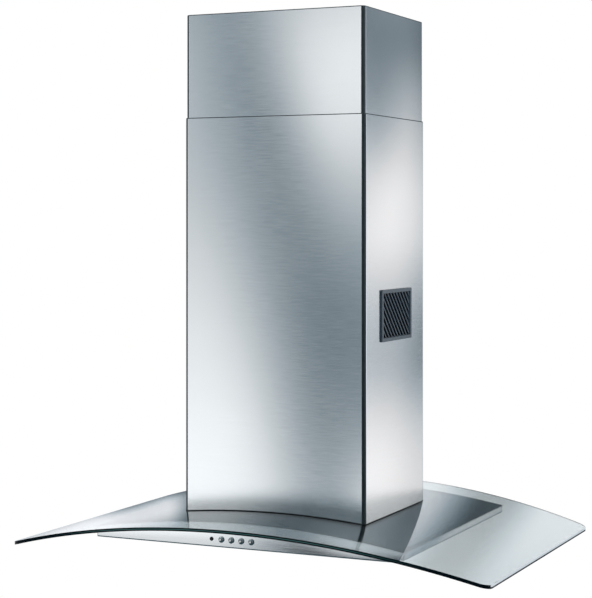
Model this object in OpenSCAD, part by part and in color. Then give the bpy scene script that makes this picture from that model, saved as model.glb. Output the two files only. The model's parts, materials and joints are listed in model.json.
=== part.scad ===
// Island range hood with a curved glass canopy, hung from the ceiling.
// Millimetres. The origin is the middle of the ceiling plate's top face, +Z is up
// and -Y is the side with the push buttons. Heights inside the hood are counted
// from the crown, the highest line of the glass.

/* [Chimney] */
// Outer width of the lower chimney
chimney_w = 352; // [340:1:380]
// Outer depth of the lower chimney
chimney_d = 290; // [284:1:310]
// Height of the lower chimney, from the crown of the glass to its upper rim
lower_h = 701; // [690:1:760]
// Height of the upper chimney that shows above the lower one
upper_show = 186; // [170:1:240]
// Length of the upper chimney that is pushed into the lower one
upper_overlap = 120; // [110:1:125]
// Thickness of the chimney sheet
sheet = 1; // [0.8:0.1:1.2]
// Play between the two chimneys, each side
slide_gap = 0.6; // [0.4:0.1:1]
// Outer radius of the chimney's folded corners
fold_r = 6; // [3:0.5:7]
// Thickness of the seal under the lower chimney
foot_seal = 1.5; // [1:0.5:2.5]

/* [Glass canopy] */
// Width of the glass
glass_w = 898; // [860:1:998]
// Depth of the glass at its two straight sides
side_d = 589; // [580:1:640]
// How far the front and rear edges bow out
bow = 41; // [25:1:60]
// Thickness of the glass
glass_t = 6; // [5:0.5:8]
// Radius of the glass's upper surface
arc_r = 1667; // [1600:1:1900]
// Radius of the glass's corners in plan
corner_r = 22; // [10:1:40]

/* [Hood body] */
// Width of the steel body under the glass
body_w = 584; // [580:1:640]
// Depth of the steel body
body_d = 518; // [512:1:560]
// Depth of the body's lower rim under the crown
body_drop = 45.5; // [45:0.5:60]
// Thickness of the body's sheet
body_sheet = 1.2; // [1:0.1:1.5]
// Width of the inward fold around the body's lower rim
rim_fold = 12; // [8:1:14]
// Thickness of the seal between the body and the glass
seal_t = 1; // [0.5:0.5:1.5]
// Width of the seal strips
strip_w = 10; // [6:1:14]
// Width of the air opening through the body and the glass
air_w = 270; // [250:1:274]
// Depth of the air opening
air_d = 208; // [204:1:212]

/* [Controls] */
// Diameter of a push button
button_d = 10.5; // [8:0.5:12]
// Distance between two push buttons
button_pitch = 19; // [17:0.5:24]
// How far a push button stands out of the front panel
button_proud = 4; // [3.5:0.5:6]
// Travel of a push button
button_travel = 2.5; // [1.5:0.5:3]
// Place of the leftmost push button along the front panel
first_button_x = -43; // [-60:1:-30]
// Depth of the row of buttons under the crown
button_drop = 31.5; // [30:0.5:33]
// Diameter of the indicator lens
lens_d = 7; // [5:0.5:8]

/* [Side grilles] */
// Length of a side grille, front to back
grille_w = 144; // [136:1:160]
// Height of a side grille
grille_h = 92; // [84:1:96]
// How far a grille's frame stands out of the chimney
grille_proud = 3; // [2:0.5:5]
// Width of a grille's frame
grille_border = 6; // [5:0.5:9]
// Distance between two slats, measured square to them
slat_pitch = 10; // [7:0.5:14]
// Thickness of a slat
slat_t = 2.2; // [1.6:0.2:3]

/* [Grease filters] */
// Width of a grease filter
filter_w = 240; // [225:1:242]
// Depth of a grease filter
filter_d = 326; // [310:1:330]
// Thickness of a grease filter
filter_t = 10; // [9:0.5:11]
// Gap around a grease filter in its opening
filter_gap = 2; // [1.5:0.1:2.5]
// Width of the bar between the two filter openings
middle_bar = 16; // [12:1:20]
// Width of a filter's frame
filter_border = 12; // [10:1:16]
// Width of a filter's folding handle
handle_w = 30; // [24:1:40]
// Length of a filter's folding handle
handle_len = 10; // [8:0.5:14]

/* [Lamps] */
// Diameter of a lamp's bezel
bezel_d = 54; // [50:1:56]
// Distance of a lamp from the middle, left to right
lamp_x = 190; // [120:1:200]

/* [Blower] */
// Diameter of the fan wheel
wheel_d = 140; // [130:1:142]
// Length of the fan wheel
wheel_len = 110; // [100:1:112]
// Number of blades on each half of the fan wheel
blade_count = 36; // [24:1:44]
// Height of the fan wheel's axis over the crown
axle_up = 117; // [115:1:122]
// Offset of the fan wheel's axis to the left
axle_left = 45; // [40:1:47]
// Outer diameter of the air outlet
outlet_d = 150; // [148:1:150]
// Radius of the motor shaft
shaft_r = 4; // [3:0.5:5]

/* [Support frame] */
// Width of the steel angles
angle_w = 25; // [22:1:28]
// Thickness of the steel angles
angle_t = 2; // [1.5:0.5:2.5]
// Room between the frame and the chimney sheet
frame_room = 9; // [8:0.5:10]
// Play between the sliding angles
angle_gap = 0.5; // [0.4:0.1:0.8]
// Thickness of the ceiling plate
plate_t = 2.5; // [2:0.5:4]
// Distance between the ceiling holes, left to right
ceiling_hole_x = 240; // [230:1:250]
// Distance between the ceiling holes, front to back
ceiling_hole_y = 200; // [190:1:210]
// Radius of a ceiling hole
ceiling_hole_r = 4.5; // [3.5:0.5:6]
// How far the hood can be raised towards the ceiling
raise = 60; // [20:5:60]
// How far the hood can be let down
lower = 90; // [20:5:90]

/* [Hidden] */
$fn = 48;
ARC_FN = 256;
eps = 0.01;
// Gap between pieces of different bodies that rest on each other
seat = 0.3;
// Gap between curved faces of one body that rest on each other
curve_gap = 0.05;
// Height of the crown of the glass
crown_z = -(upper_show + lower_h);

// Chimney
lower_in_w = chimney_w - 2 * sheet;
lower_in_d = chimney_d - 2 * sheet;
upper_w = lower_in_w - 2 * slide_gap;
upper_d = lower_in_d - 2 * slide_gap;
upper_in_w = upper_w - 2 * sheet;
upper_in_d = upper_d - 2 * sheet;
chimney_screw_r = 2.5;
chimney_screw_x = 60;
chimney_screw_drop = 25;

// Glass
bowed_half_d = side_d / 2 + bow;
edge_r = (pow(glass_w / 2, 2) + bow * bow) / (2 * bow);

// Hood body
body_top_r = arc_r - glass_t - seal_t;
body_roof_r = body_top_r - body_sheet;
rim_z = -body_drop;
panel_t = 1.2;
panel_z = rim_z + body_sheet;
panel_top = panel_z + panel_t;
front_y = -body_d / 2;

// Support frame
upper_x = chimney_w / 2 - sheet - frame_room;
upper_y = chimney_d / 2 - sheet - frame_room;
lower_x = upper_x - angle_t - angle_gap;
lower_y = upper_y - angle_t - angle_gap;
inner_x = lower_x - angle_t;
inner_y = lower_y - angle_t;
ring_x = chimney_w / 2 - sheet - 3;
ring_y = chimney_d / 2 - sheet - 3;
ring_leg = 35;
ring_z = 9;
ring_t = 3;
ring_top = ring_z + ring_t;
bolt_r = 3;
bolt_x = ring_x - 19;
bolt_y = ring_y - 19;
bolt_head_r = 5.5;
bolt_head_h = 4;
lower_frame_top = 560;
upper_frame_low = 390;
tie_z = 415;
tie_h = 18;
frame_screw_z = [535, 505];
frame_screw_in = 14;
slot_r = bolt_r + 0.3;
flange_drop = 40;

// Blower
box_wall = 1;
box_x = air_w / 2 + box_wall;
box_y = air_d / 2 + box_wall;
box_flange = 10;
box_top = 250;
axle_x = -axle_left;
scroll_wall = 2;
scroll_half = wheel_len / 2 + 5;
scroll_min = wheel_d / 2 + 6;
scroll_grow = 24;
inlet_r = wheel_d / 2 - 12;
wheel_in_r = inlet_r;
wheel_disc_t = 2;
mouth_left = -62;
mouth_right = 66;
motor_r = 42;
motor_back = 50;
motor_face = 8;
grommet_r = 6;
grommet_h = 5;
bracket_t = 2.5;
charcoal_r = inlet_r + 20;
charcoal_t = 26;
bayonet_gap = 0.4;
charcoal_neck = charcoal_r - 2.5;
charcoal_z = scroll_half + bracket_t + seat;
lug_h = 3;
ring_high = charcoal_z - scroll_half + lug_h + seat + 2;
ring_in_r = charcoal_r + bayonet_gap;
ring_cut = 2 * charcoal_r;

// Outlet, flaps and deflector
outlet_r = outlet_d / 2;
outlet_wall = 2;
collar_h = 42;
ledge_h = 8;
flap_t = 1.2;
flap_r = outlet_r - outlet_wall - 1.5;
pin_r = 2;
pin_play = 0.05;
knuckle_r = 4;
flap_z = box_top + ledge_h + 2 + seat;
pin_z = flap_z + knuckle_r + 0.5;
grille_up = 347;
deflector_h = grille_h - 2;
deflector_low = grille_up - deflector_h / 2;
deflector_y = grille_w / 2 - grille_border;
deflector_wall = 2;
deflector_x = chimney_w / 2 - sheet - 7;
deflector_high = deflector_low + deflector_h;
plenum = outlet_d / 2 + 5;
sleeve_play = 0.3;

// Controls
button_r = button_d / 2;
lens_dome_h = 0.4;
lens_dome_r = (lens_d * lens_d / 4 + lens_dome_h * lens_dome_h) / (2 * lens_dome_h);
dome_h = 2.6;
dome_r = (button_r * button_r + dome_h * dome_h) / (2 * dome_h);
button_hole_r = button_r + 0.3;
button_z = -button_drop;
lens_x = first_button_x - button_pitch;
case_left = lens_x - 9;
case_right = first_button_x + 3 * button_pitch + 10;
case_wall = 1.8;
case_front = front_y + body_sheet;
case_back = case_front + 33;
case_low = panel_top;
case_top = -20;
board_y = case_back - 6;

// Filters
opening_x0 = middle_bar / 2;
opening_x1 = opening_x0 + filter_w + 2 * filter_gap;
opening_y = filter_d / 2 + filter_gap;
filter_x0 = opening_x0 + filter_gap;
filter_low = rim_z + 0.7;
filter_mid_x = filter_x0 + filter_w / 2;
hook_len = 6;
handle_wire_r = 1.5;
pocket_half = handle_w / 2 + 0.8;
pocket_end = handle_len + 9;
handle_y = -filter_d / 2 + 6;
handle_z = filter_low + 3.5;

// Lamps, midway between the filter openings and the body's lower rim
lamp_r = bezel_d / 2 - 4;
lamp_y = (opening_y + body_d / 2 - rim_fold) / 2;
cup_h = 17;
cup_neck_r = 7;
bulb_r = 3.9;
bulb_h = 10;

// Height above the crown, at x, of a barrel of radius r that shares the glass's axis
function arc_z(x, r) = sqrt(r * r - x * x) - arc_r;

module at_crown() translate([0, 0, crown_z]) children();

// Copies of a shape in all four corners, or left and right
module four_corners() {
    for (a = [0, 1], b = [0, 1]) mirror([a, 0, 0]) mirror([0, b, 0]) children();
}

module both_sides() {
    for (a = [0, 1]) mirror([a, 0, 0]) children();
}

// Solid barrel under the glass, its axis along Y
module barrel(r, length) {
    translate([0, 0, -arc_r]) rotate([90, 0, 0])
        cylinder(r = r, h = length, center = true, $fn = ARC_FN);
}

// Curved layer between two radii
module arc_layer(r_out, r_in, length) {
    difference() {
        barrel(r_out, length);
        barrel(r_in, length + 2);
    }
}

module rounded_rect(w, d, r) {
    square([w - 2 * r, d], center = true);
    square([w, d - 2 * r], center = true);
    for (x = [-1, 1], y = [-1, 1]) translate([x * (w / 2 - r), y * (d / 2 - r)]) circle(r);
}

// Outline of a folded sheet tube
module tube_outline(w, d, r, t) {
    difference() {
        rounded_rect(w, d, r);
        rounded_rect(w - 2 * t, d - 2 * t, r - t);
    }
}

// Box from a low corner to a high corner
module span(low, high) translate(low) cube(high - low);

// Cylinders along X and Y, from the place where they start
module rod_x(r, h) rotate([0, 90, 0]) cylinder(r = r, h = h);
module rod_y(r, h) rotate([-90, 0, 0]) cylinder(r = r, h = h);

// Cross-section of a steel angle whose outer corner is at x, y
module angle_outline(x, y) {
    translate([x - angle_w, y - angle_t]) square([angle_w, angle_t]);
    translate([x - angle_t, y - angle_w]) square([angle_t, angle_w]);
}

// Long slot through the Y face of an angle
module slot_y(x, y, z0, z1) {
    translate([x, y, z0]) rod_y(slot_r, 6);
    translate([x, y, z1]) rod_y(slot_r, 6);
    span([x - slot_r, y, z0], [x + slot_r, y + 6, z1]);
}

module slot_x(x, y, z0, z1) {
    translate([x, y, z0]) rod_x(slot_r, 6);
    translate([x, y, z1]) rod_x(slot_r, 6);
    span([x, y - slot_r, z0], [x + 6, y + slot_r, z1]);
}

// Plate against the ceiling, with a hole for the cable and two flanges for the chimney
module ceiling_plate() {
    flange_y = upper_in_d / 2 - slide_gap;
    flange_half = 120;
    color("silver") difference() {
        union() {
            span([-upper_in_w / 2 + fold_r, -flange_y, -plate_t], [upper_in_w / 2 - fold_r, flange_y, 0]);
            for (s = [-1, 1]) translate([0, s * (flange_y - plate_t / 2), -flange_drop / 2])
                cube([2 * flange_half, plate_t, flange_drop], center = true);
        }
        span([-plate_open_x, -plate_open_y, -plate_t - 1], [plate_open_x, plate_open_y, 1]);
        for (x = [-1, 1], y = [-1, 1])
            translate([x * ceiling_hole_x / 2, y * ceiling_hole_y / 2, -plate_t - 1])
                cylinder(r = ceiling_hole_r, h = plate_t + 2);
        for (x = [-1, 1]) translate([x * chimney_screw_x, flange_y - plate_t - 1, -chimney_screw_drop]) {
            rod_y(chimney_screw_r + 0.5, plate_t + 2);
            span([-chimney_screw_r - 0.5, 0, -flange_drop], [chimney_screw_r + 0.5, plate_t + 2, 0]);
        }
    }
}

// Four slotted angles that hang from the ceiling plate, tied together
module upper_frame() {
    low = crown_z + upper_frame_low;
    tie_top = -190;
    color("silver") difference() {
        union() {
            four_corners() {
                translate([0, 0, low]) linear_extrude(-plate_t - low) angle_outline(upper_x, upper_y);
                span([upper_x - angle_w, upper_y - angle_w, -plate_t - angle_t], [upper_x, upper_y, -plate_t]);
            }
            for (s = [-1, 1]) {
                translate([0, s * (upper_y - 1.5 * angle_t), tie_top - tie_h / 2])
                    cube([2 * (upper_x - angle_t), angle_t, tie_h], center = true);
                translate([s * (upper_x - 1.5 * angle_t), 0, tie_top - tie_h / 2])
                    cube([angle_t, 2 * (upper_y - angle_t), tie_h], center = true);
            }
        }
        four_corners() translate([0, 0, crown_z]) {
            slot_y(upper_x - frame_screw_in, upper_y - angle_t - 1,
                frame_screw_z[0] - lower - 2, frame_screw_z[0] + raise + 2);
            slot_x(upper_x - angle_t - 1, upper_y - frame_screw_in,
                frame_screw_z[1] - lower - 2, frame_screw_z[1] + raise + 2);
        }
    }
}

module upper_chimney() {
    length = upper_show + upper_overlap;
    color("lightgray") difference() {
        translate([0, 0, -length]) linear_extrude(length)
            tube_outline(upper_w, upper_d, fold_r, sheet);
        for (x = [-1, 1])
            translate([x * chimney_screw_x, upper_in_d / 2 - 1, -chimney_screw_drop])
                rod_y(chimney_screw_r + 0.2, sheet + 2);
    }
}

// Two pan-head screws at the back, in slots that are open downwards
module chimney_screws() {
    color("gainsboro") for (x = [-1, 1])
        translate([x * chimney_screw_x, upper_d / 2, -chimney_screw_drop]) {
            translate([0, -8, 0]) rod_y(chimney_screw_r, 8.5);
            rotate([-90, 0, 0]) intersection() {
                cylinder(r = 4.5, h = 2.2);
                translate([0, 0, -3.5]) sphere(r = 5.9);
            }
        }
}

// Clamping ring over the glass with four uprights, rests for the deflector and ties
module lower_frame() {
    rest = 8;
    color("silver") at_crown() difference() {
        union() {
            difference() {
                span([-ring_x, -ring_y, ring_z], [ring_x, ring_y, ring_top]);
                span([-ring_x + ring_leg, -ring_y + ring_leg, ring_z - 1],
                    [ring_x - ring_leg, ring_y - ring_leg, ring_top + 1]);
            }
            four_corners() translate([0, 0, ring_z])
                linear_extrude(lower_frame_top - ring_z) angle_outline(lower_x, lower_y);
            for (s = [0, 1]) mirror([0, s, 0]) {
                span([-inner_x, inner_y - angle_t, deflector_low - rest],
                    [inner_x, inner_y, deflector_low]);
                span([-inner_x, inner_y - rest, deflector_low - angle_t],
                    [inner_x, inner_y, deflector_low]);
                span([-inner_x, inner_y - angle_t, tie_z], [inner_x, inner_y, tie_z + tie_h]);
            }
            both_sides() span([inner_x - angle_t, -inner_y, tie_z], [inner_x, inner_y, tie_z + tie_h]);
        }
        four_corners() {
            translate([bolt_x, bolt_y, ring_z - 1]) cylinder(r = bolt_r + 0.3, h = ring_t + 2);
            translate([upper_x - frame_screw_in, inner_y - 1, frame_screw_z[0]])
                rod_y(bolt_r + 0.1, angle_t + 2);
            translate([inner_x - 1, upper_y - frame_screw_in, frame_screw_z[1]])
                rod_x(bolt_r + 0.1, angle_t + 2);
        }
    }
}

// Screw with its head outside the slotted angle and its nut inside
module frame_screw(head_at, nut_at) {
    head_h = 3.5;
    nut_h = 4;
    translate([0, 0, nut_at - nut_h]) cylinder(r = bolt_r, h = head_at + head_h - nut_at + nut_h);
    translate([0, 0, head_at]) cylinder(r = 5.5, h = head_h, $fn = 6);
    translate([0, 0, nut_at - nut_h]) cylinder(r = 5.5, h = nut_h, $fn = 6);
}

module frame_screws() {
    color("gainsboro") at_crown() four_corners() {
        translate([upper_x - frame_screw_in, 0, frame_screw_z[0]]) rotate([-90, 0, 0])
            frame_screw(upper_y + seat, inner_y);
        translate([0, upper_y - frame_screw_in, frame_screw_z[1]]) rotate([0, 90, 0])
            frame_screw(upper_x + seat, inner_x);
    }
}

// Lower chimney, its foot cut to the curve of the glass and its sides open for the grilles
module lower_chimney() {
    foot = arc_z(chimney_w / 2, arc_r) - 5;
    color("lightgray") at_crown() difference() {
        translate([0, 0, foot]) linear_extrude(lower_h - foot)
            tube_outline(chimney_w, chimney_d, fold_r, sheet);
        barrel(arc_r + foot_seal, chimney_d + 10);
        translate([0, 0, grille_up])
            cube([chimney_w + 2, grille_w - 2 * grille_border + 2, grille_h - 2 * grille_border + 2],
                center = true);
    }
}

module chimney_seal() {
    color("dimgray") at_crown() intersection() {
        translate([0, 0, -30]) linear_extrude(40) difference() {
            rounded_rect(chimney_w, chimney_d, fold_r);
            square([chimney_w - 6, chimney_d - 6], center = true);
        }
        arc_layer(arc_r + foot_seal - curve_gap, arc_r + curve_gap, chimney_d + 10);
    }
}

// Grille on the right side: a frame, diagonal louvre slats and a collar behind
module side_grille() {
    in_w = grille_w - 2 * grille_border;
    in_h = grille_h - 2 * grille_border;
    face = chimney_w / 2;
    collar_w = in_w + 1.4;
    collar_h = in_h + 1.4;
    slats = ceil((in_w + in_h) / sqrt(2) / slat_pitch / 2);
    slat_depth = 7;
    slat_tilt = 28;
    at_crown() translate([face, 0, grille_up]) {
        rotate([90, 0, 90]) linear_extrude(grille_proud) difference() {
            rounded_rect(grille_w, grille_h, 3);
            square([in_w, in_h], center = true);
        }
        translate([deflector_x - face + seat, 0, 0]) rotate([90, 0, 90])
            linear_extrude(face - deflector_x - seat) difference() {
                square([collar_w, collar_h], center = true);
                square([in_w - 2, in_h - 2], center = true);
            }
        intersection() {
            translate([-3, 0, 0]) cube([8, in_w, in_h], center = true);
            rotate([-45, 0, 0]) for (i = [-slats : slats])
                translate([-2, 0, i * slat_pitch]) rotate([0, slat_tilt, 0])
                    cube([slat_depth, in_w + in_h, slat_t], center = true);
        }
    }
}

module grille_right() color("#26292b") side_grille();
module grille_left() color("#26292b") mirror([1, 0, 0]) side_grille();

// Plan of the glass: straight sides, bowed front and rear, rounded corners
module glass_plan() {
    arc_y = bowed_half_d - edge_r;
    cx = glass_w / 2 - corner_r;
    cy = arc_y + sqrt(pow(edge_r - corner_r, 2) - cx * cx);
    out = corner_r + 6;
    unit = [cx, cy - arc_y] / (edge_r - corner_r);
    difference() {
        intersection() {
            square([glass_w, 2 * bowed_half_d + 2], center = true);
            translate([0, arc_y]) circle(edge_r, $fn = ARC_FN);
            translate([0, -arc_y]) circle(edge_r, $fn = ARC_FN);
        }
        four_corners() difference() {
            polygon([[cx, cy], [cx + out, cy], [cx + out, cy + out], [cx, cy] + out * unit]);
            translate([cx + 0.04, cy + 0.04]) circle(corner_r, $fn = 96);
        }
    }
}

module glass_canopy() {
    low = arc_z(glass_w / 2, arc_r - glass_t) - 5;
    color([0.7, 0.85, 0.85, 0.4]) at_crown() difference() {
        intersection() {
            arc_layer(arc_r, arc_r - glass_t, 2 * bowed_half_d + 20);
            translate([0, 0, low]) linear_extrude(5 - low) glass_plan();
        }
        translate([0, 0, -40]) linear_extrude(60) rounded_rect(air_w, air_d, 12);
        four_corners() translate([bolt_x, bolt_y, -40]) cylinder(r = bolt_r + 2, h = 60);
    }
}

// Foam seal between the glass and the clamping ring, around the air opening
module ring_seal() {
    low = arc_z(ring_x, arc_r) - 2;
    color("dimgray") at_crown() difference() {
        span([-ring_x + 3, -ring_y + 3, low], [ring_x - 3, ring_y - 3, ring_z]);
        span([-ring_x + ring_leg, -ring_y + ring_leg, low - 1],
            [ring_x - ring_leg, ring_y - ring_leg, ring_z + 1]);
        four_corners() translate([bolt_x, bolt_y, low - 1]) cylinder(r = bolt_r + 0.3, h = ring_z - low + 2);
        barrel(arc_r + curve_gap, chimney_d);
    }
}

// Bolts that clamp the glass between the ring and the body
module glass_bolts() {
    nut_h = 5;
    nut_top = arc_z(bolt_x + bolt_head_r, body_roof_r) - 0.1;
    color("gainsboro") at_crown() four_corners() translate([bolt_x, bolt_y, 0]) {
        translate([0, 0, nut_top - nut_h - 2]) cylinder(r = bolt_r, h = ring_top - nut_top + nut_h + 2 + eps);
        translate([0, 0, ring_top]) cylinder(r = bolt_head_r, h = bolt_head_h, $fn = 6);
        translate([0, 0, nut_top - nut_h]) cylinder(r = bolt_head_r, h = nut_h, $fn = 6);
    }
}

// Steel body under the glass: four walls, a curved roof and a folded rim
module hood_body() {
    in_w = body_w - 2 * body_sheet;
    in_d = body_d - 2 * body_sheet;
    color("silver") at_crown() difference() {
        intersection() {
            span([-body_w / 2, -body_d / 2, rim_z], [body_w / 2, body_d / 2, 5]);
            barrel(body_top_r, body_d + 10);
        }
        intersection() {
            span([-in_w / 2, -in_d / 2, panel_z], [in_w / 2, in_d / 2, 5]);
            barrel(body_roof_r, body_d + 20);
        }
        span([-body_w / 2 + rim_fold, -body_d / 2 + rim_fold, rim_z - 1],
            [body_w / 2 - rim_fold, body_d / 2 - rim_fold, panel_z + 1]);
        translate([0, 0, -30]) linear_extrude(40) rounded_rect(air_w, air_d, 12);
        four_corners() translate([bolt_x, bolt_y, -30]) cylinder(r = bolt_r + 0.3, h = 40);
        for (i = [0 : 3]) translate([first_button_x + i * button_pitch, front_y - 1, button_z])
            rod_y(button_hole_r, body_sheet + 2);
        translate([lens_x, front_y - 1, button_z]) rod_y(lens_d / 2 + 0.1, body_sheet + 2);
    }
}

// Seal strips under the glass, along the body's edge and around the air opening
module body_seal() {
    color("dimgray") at_crown() intersection() {
        translate([0, 0, -60]) linear_extrude(70) {
            difference() {
                square([body_w, body_d], center = true);
                square([body_w - 2 * strip_w, body_d - 2 * strip_w], center = true);
            }
            difference() {
                square([air_w + 2 * strip_w, air_d + 2 * strip_w], center = true);
                rounded_rect(air_w, air_d, 12);
            }
        }
        arc_layer(arc_r - glass_t - curve_gap, body_top_r + curve_gap, body_d + 10);
    }
}

// Flat panel that closes the body from below, with the filter and lamp openings
module underside_panel() {
    half_w = body_w / 2 - body_sheet - 0.3;
    half_d = body_d / 2 - body_sheet - 0.3;
    color("silver") at_crown() difference() {
        span([-half_w, -half_d, panel_z], [half_w, half_d, panel_top]);
        both_sides() span([opening_x0, -opening_y, panel_z - 1], [opening_x1, opening_y, panel_top + 1]);
        four_corners() translate([lamp_x, lamp_y, panel_z - 1]) cylinder(r = lamp_r, h = panel_t + 2);
    }
}

// Frame of the right filter: a folded border, two hooks at the back and a handle pocket
module filter_frame() {
    x1 = filter_x0 + filter_w;
    y1 = filter_d / 2;
    high = filter_low + filter_t;
    block = pocket_half + 5;
    color("silver") at_crown() difference() {
        union() {
            difference() {
                span([filter_x0, -y1, filter_low], [x1, y1, high]);
                span([filter_x0 + filter_border, -y1 + filter_border, filter_low - 1],
                    [x1 - filter_border, y1 - filter_border, high + 1]);
            }
            span([filter_mid_x - block, -y1, filter_low], [filter_mid_x + block, -y1 + pocket_end + 3, high]);
            for (s = [-1, 1]) translate([filter_mid_x + s * filter_w / 3, y1 + hook_len / 2 - 1,
                panel_top + seat + 0.6])
                cube([20, hook_len + 2, 1.2], center = true);
        }
        span([filter_x0 + 3, -y1 + 3, filter_low + 1.2], [filter_mid_x - block, y1 - 3, high - 1.2]);
        span([filter_mid_x + block, -y1 + 3, filter_low + 1.2], [x1 - 3, y1 - 3, high - 1.2]);
        span([filter_mid_x - block - 1, -y1 + pocket_end + 3, filter_low + 1.2],
            [filter_mid_x + block + 1, y1 - 3, high - 1.2]);
        span([filter_mid_x - pocket_half, -y1 + 3, filter_low - 1],
            [filter_mid_x + pocket_half, -y1 + pocket_end, filter_low + 7]);
        translate([filter_mid_x - pocket_half - 3.2, handle_y, handle_z])
            rod_x(handle_wire_r + 0.05, 2 * pocket_half + 6.4);
    }
}

// Pleated mesh pad, a zigzag sheet held in the frame's channel
module filter_mesh() {
    x0 = filter_x0 + 3 + seat;
    x1 = filter_x0 + filter_w - 3 - seat;
    y1 = filter_d / 2 - 3 - seat;
    pleats = 36;
    step = (x1 - x0) / pleats;
    low = filter_low + 1.2;
    sheet_t = 1.6;
    rise = filter_t - 2.6 - sheet_t;
    zig = [for (i = [0 : pleats]) [x0 + i * step, low + (i % 2) * rise]];
    zag = [for (i = [pleats : -1 : 0]) [x0 + i * step, low + (i % 2) * rise + sheet_t]];
    color("gainsboro") at_crown() difference() {
        translate([0, y1, 0]) rotate([90, 0, 0]) linear_extrude(2 * y1) polygon(concat(zig, zag));
        span([filter_mid_x - pocket_half - 5.3, -filter_d / 2, filter_low],
            [filter_mid_x + pocket_half + 5.3, -filter_d / 2 + pocket_end + 3.3, filter_low + filter_t]);
    }
}

// Folding wire handle whose ends turn in the sides of the frame's pocket
module filter_handle() {
    arm_x = handle_w / 2 - handle_wire_r;
    color("gainsboro") at_crown() translate([filter_mid_x, handle_y, handle_z]) {
        for (s = [-1, 1]) {
            translate([s * arm_x, 0, 0]) rod_y(handle_wire_r, handle_len);
            translate([s * arm_x, 0, 0]) sphere(r = handle_wire_r);
            translate([s * arm_x, handle_len, 0]) sphere(r = handle_wire_r);
            translate([s > 0 ? arm_x : -pocket_half - 3, 0, 0]) rod_x(handle_wire_r, pocket_half + 3 - arm_x);
        }
        translate([-arm_x, handle_len, 0]) rod_x(handle_wire_r, 2 * arm_x);
    }
}

// Two leaf springs on the filter's front edge that snap behind the panel
module filter_springs() {
    leaf = 14;
    color("silver") at_crown() for (s = [-1, 1])
        translate([filter_mid_x + s * filter_w / 3 - leaf / 2, -filter_d / 2, filter_low])
            rotate([90, 0, 90]) linear_extrude(leaf)
                polygon([[0, 9], [-0.5, 9], [-0.5, 6], [seat - filter_gap, 3], [0.8 - filter_gap, 1.2],
                    [1.3 - filter_gap, 1.2], [0.8 - filter_gap, 3], [0, 5.6]]);
}

module filter_frame_right() filter_frame();
module filter_frame_left() mirror([1, 0, 0]) filter_frame();
module filter_mesh_right() filter_mesh();
module filter_mesh_left() mirror([1, 0, 0]) filter_mesh();
module filter_handle_right() filter_handle();
module filter_handle_left() mirror([1, 0, 0]) filter_handle();
module filter_springs_right() filter_springs();
module filter_springs_left() mirror([1, 0, 0]) filter_springs();

module at_lamps() at_crown() four_corners() translate([lamp_x, lamp_y, 0]) children();

// Bezel: a flange under the panel and a sleeve through it
module lamp_bezels() {
    sleeve_r = lamp_r - 0.4;
    color("silver") at_lamps() rotate_extrude() polygon([
        [sleeve_r - 2, panel_z - 1.8], [bezel_d / 2 - 0.8, panel_z - 1.8], [bezel_d / 2, panel_z - 1],
        [bezel_d / 2, panel_z], [sleeve_r, panel_z], [sleeve_r, panel_top + 0.7],
        [sleeve_r - 1, panel_top + 0.7], [sleeve_r - 1, panel_z + 0.4], [sleeve_r - 2, panel_z + 0.4]]);
}

module lamp_lenses() {
    sleeve_r = lamp_r - 0.4;
    color([0.95, 0.95, 0.9, 0.6]) at_lamps() translate([0, 0, panel_z + 0.4])
        cylinder(r = sleeve_r - 1.1, h = 2);
}

// Reflector cup that rests on the panel
module lamp_cups() {
    r = lamp_r;
    base = panel_top;
    neck = cup_neck_r;
    color("silver") at_lamps() rotate_extrude() polygon([
        [r + 3, base], [r + 3, base + 1], [r + 1, base + 1], [r - 3, base + 0.6 * cup_h],
        [neck, base + cup_h - 1], [neck, base + cup_h], [bulb_r + 0.1, base + cup_h],
        [bulb_r + 0.1, base + cup_h - 2], [r - 4, base + 0.6 * cup_h - 1], [r, base + 0.8], [r, base]]);
}

module lamp_bulbs() {
    base = panel_top + cup_h - bulb_h - 1.5;
    color("white") at_lamps() {
        translate([0, 0, base]) cylinder(r = bulb_r, h = bulb_h);
        translate([0, 0, base]) sphere(r = bulb_r);
    }
}

// Case behind the front panel that guides the buttons
module switch_case() {
    color("#26292b") at_crown() difference() {
        span([case_left, case_front, case_low], [case_right, case_back, case_top]);
        span([case_left + case_wall, case_front + case_wall, case_low + case_wall],
            [case_right - case_wall, case_back - case_wall, case_top - case_wall]);
        for (i = [0 : 3]) translate([first_button_x + i * button_pitch, case_front - 1, button_z])
            rod_y(button_hole_r, case_wall + 2);
        translate([lens_x, case_front - 1, button_z]) rod_y(lens_d / 2 + 0.1, case_wall + 2);
    }
}

// Circuit board with one push switch behind each button and a light-emitting diode
module control_board() {
    stop_y = front_y - button_proud + 20 + button_travel + seat;
    color("seagreen") at_crown() {
        span([case_left + case_wall + seat, board_y, case_low + case_wall],
            [case_right - case_wall - seat, board_y + 1.6, case_top - case_wall]);
        for (i = [0 : 3]) translate([first_button_x + i * button_pitch, board_y, button_z]) {
            translate([0, -2, 0]) cube([6, 4, 6], center = true);
            translate([0, stop_y - board_y, 0]) rod_y(1.7, board_y - stop_y);
        }
        translate([lens_x, board_y - 12, button_z]) rod_y(1.5, 12);
    }
}

module indicator_lens() {
    color("#1a1416") at_crown() translate([lens_x, front_y - 0.6, button_z]) {
        rod_y(lens_d / 2, body_sheet + case_wall + 1.6);
        intersection() {
            translate([0, -1, 0]) rod_y(lens_d / 2, 3);
            translate([0, lens_dome_r - lens_dome_h, 0]) sphere(r = lens_dome_r, $fn = 128);
        }
    }
}

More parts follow.
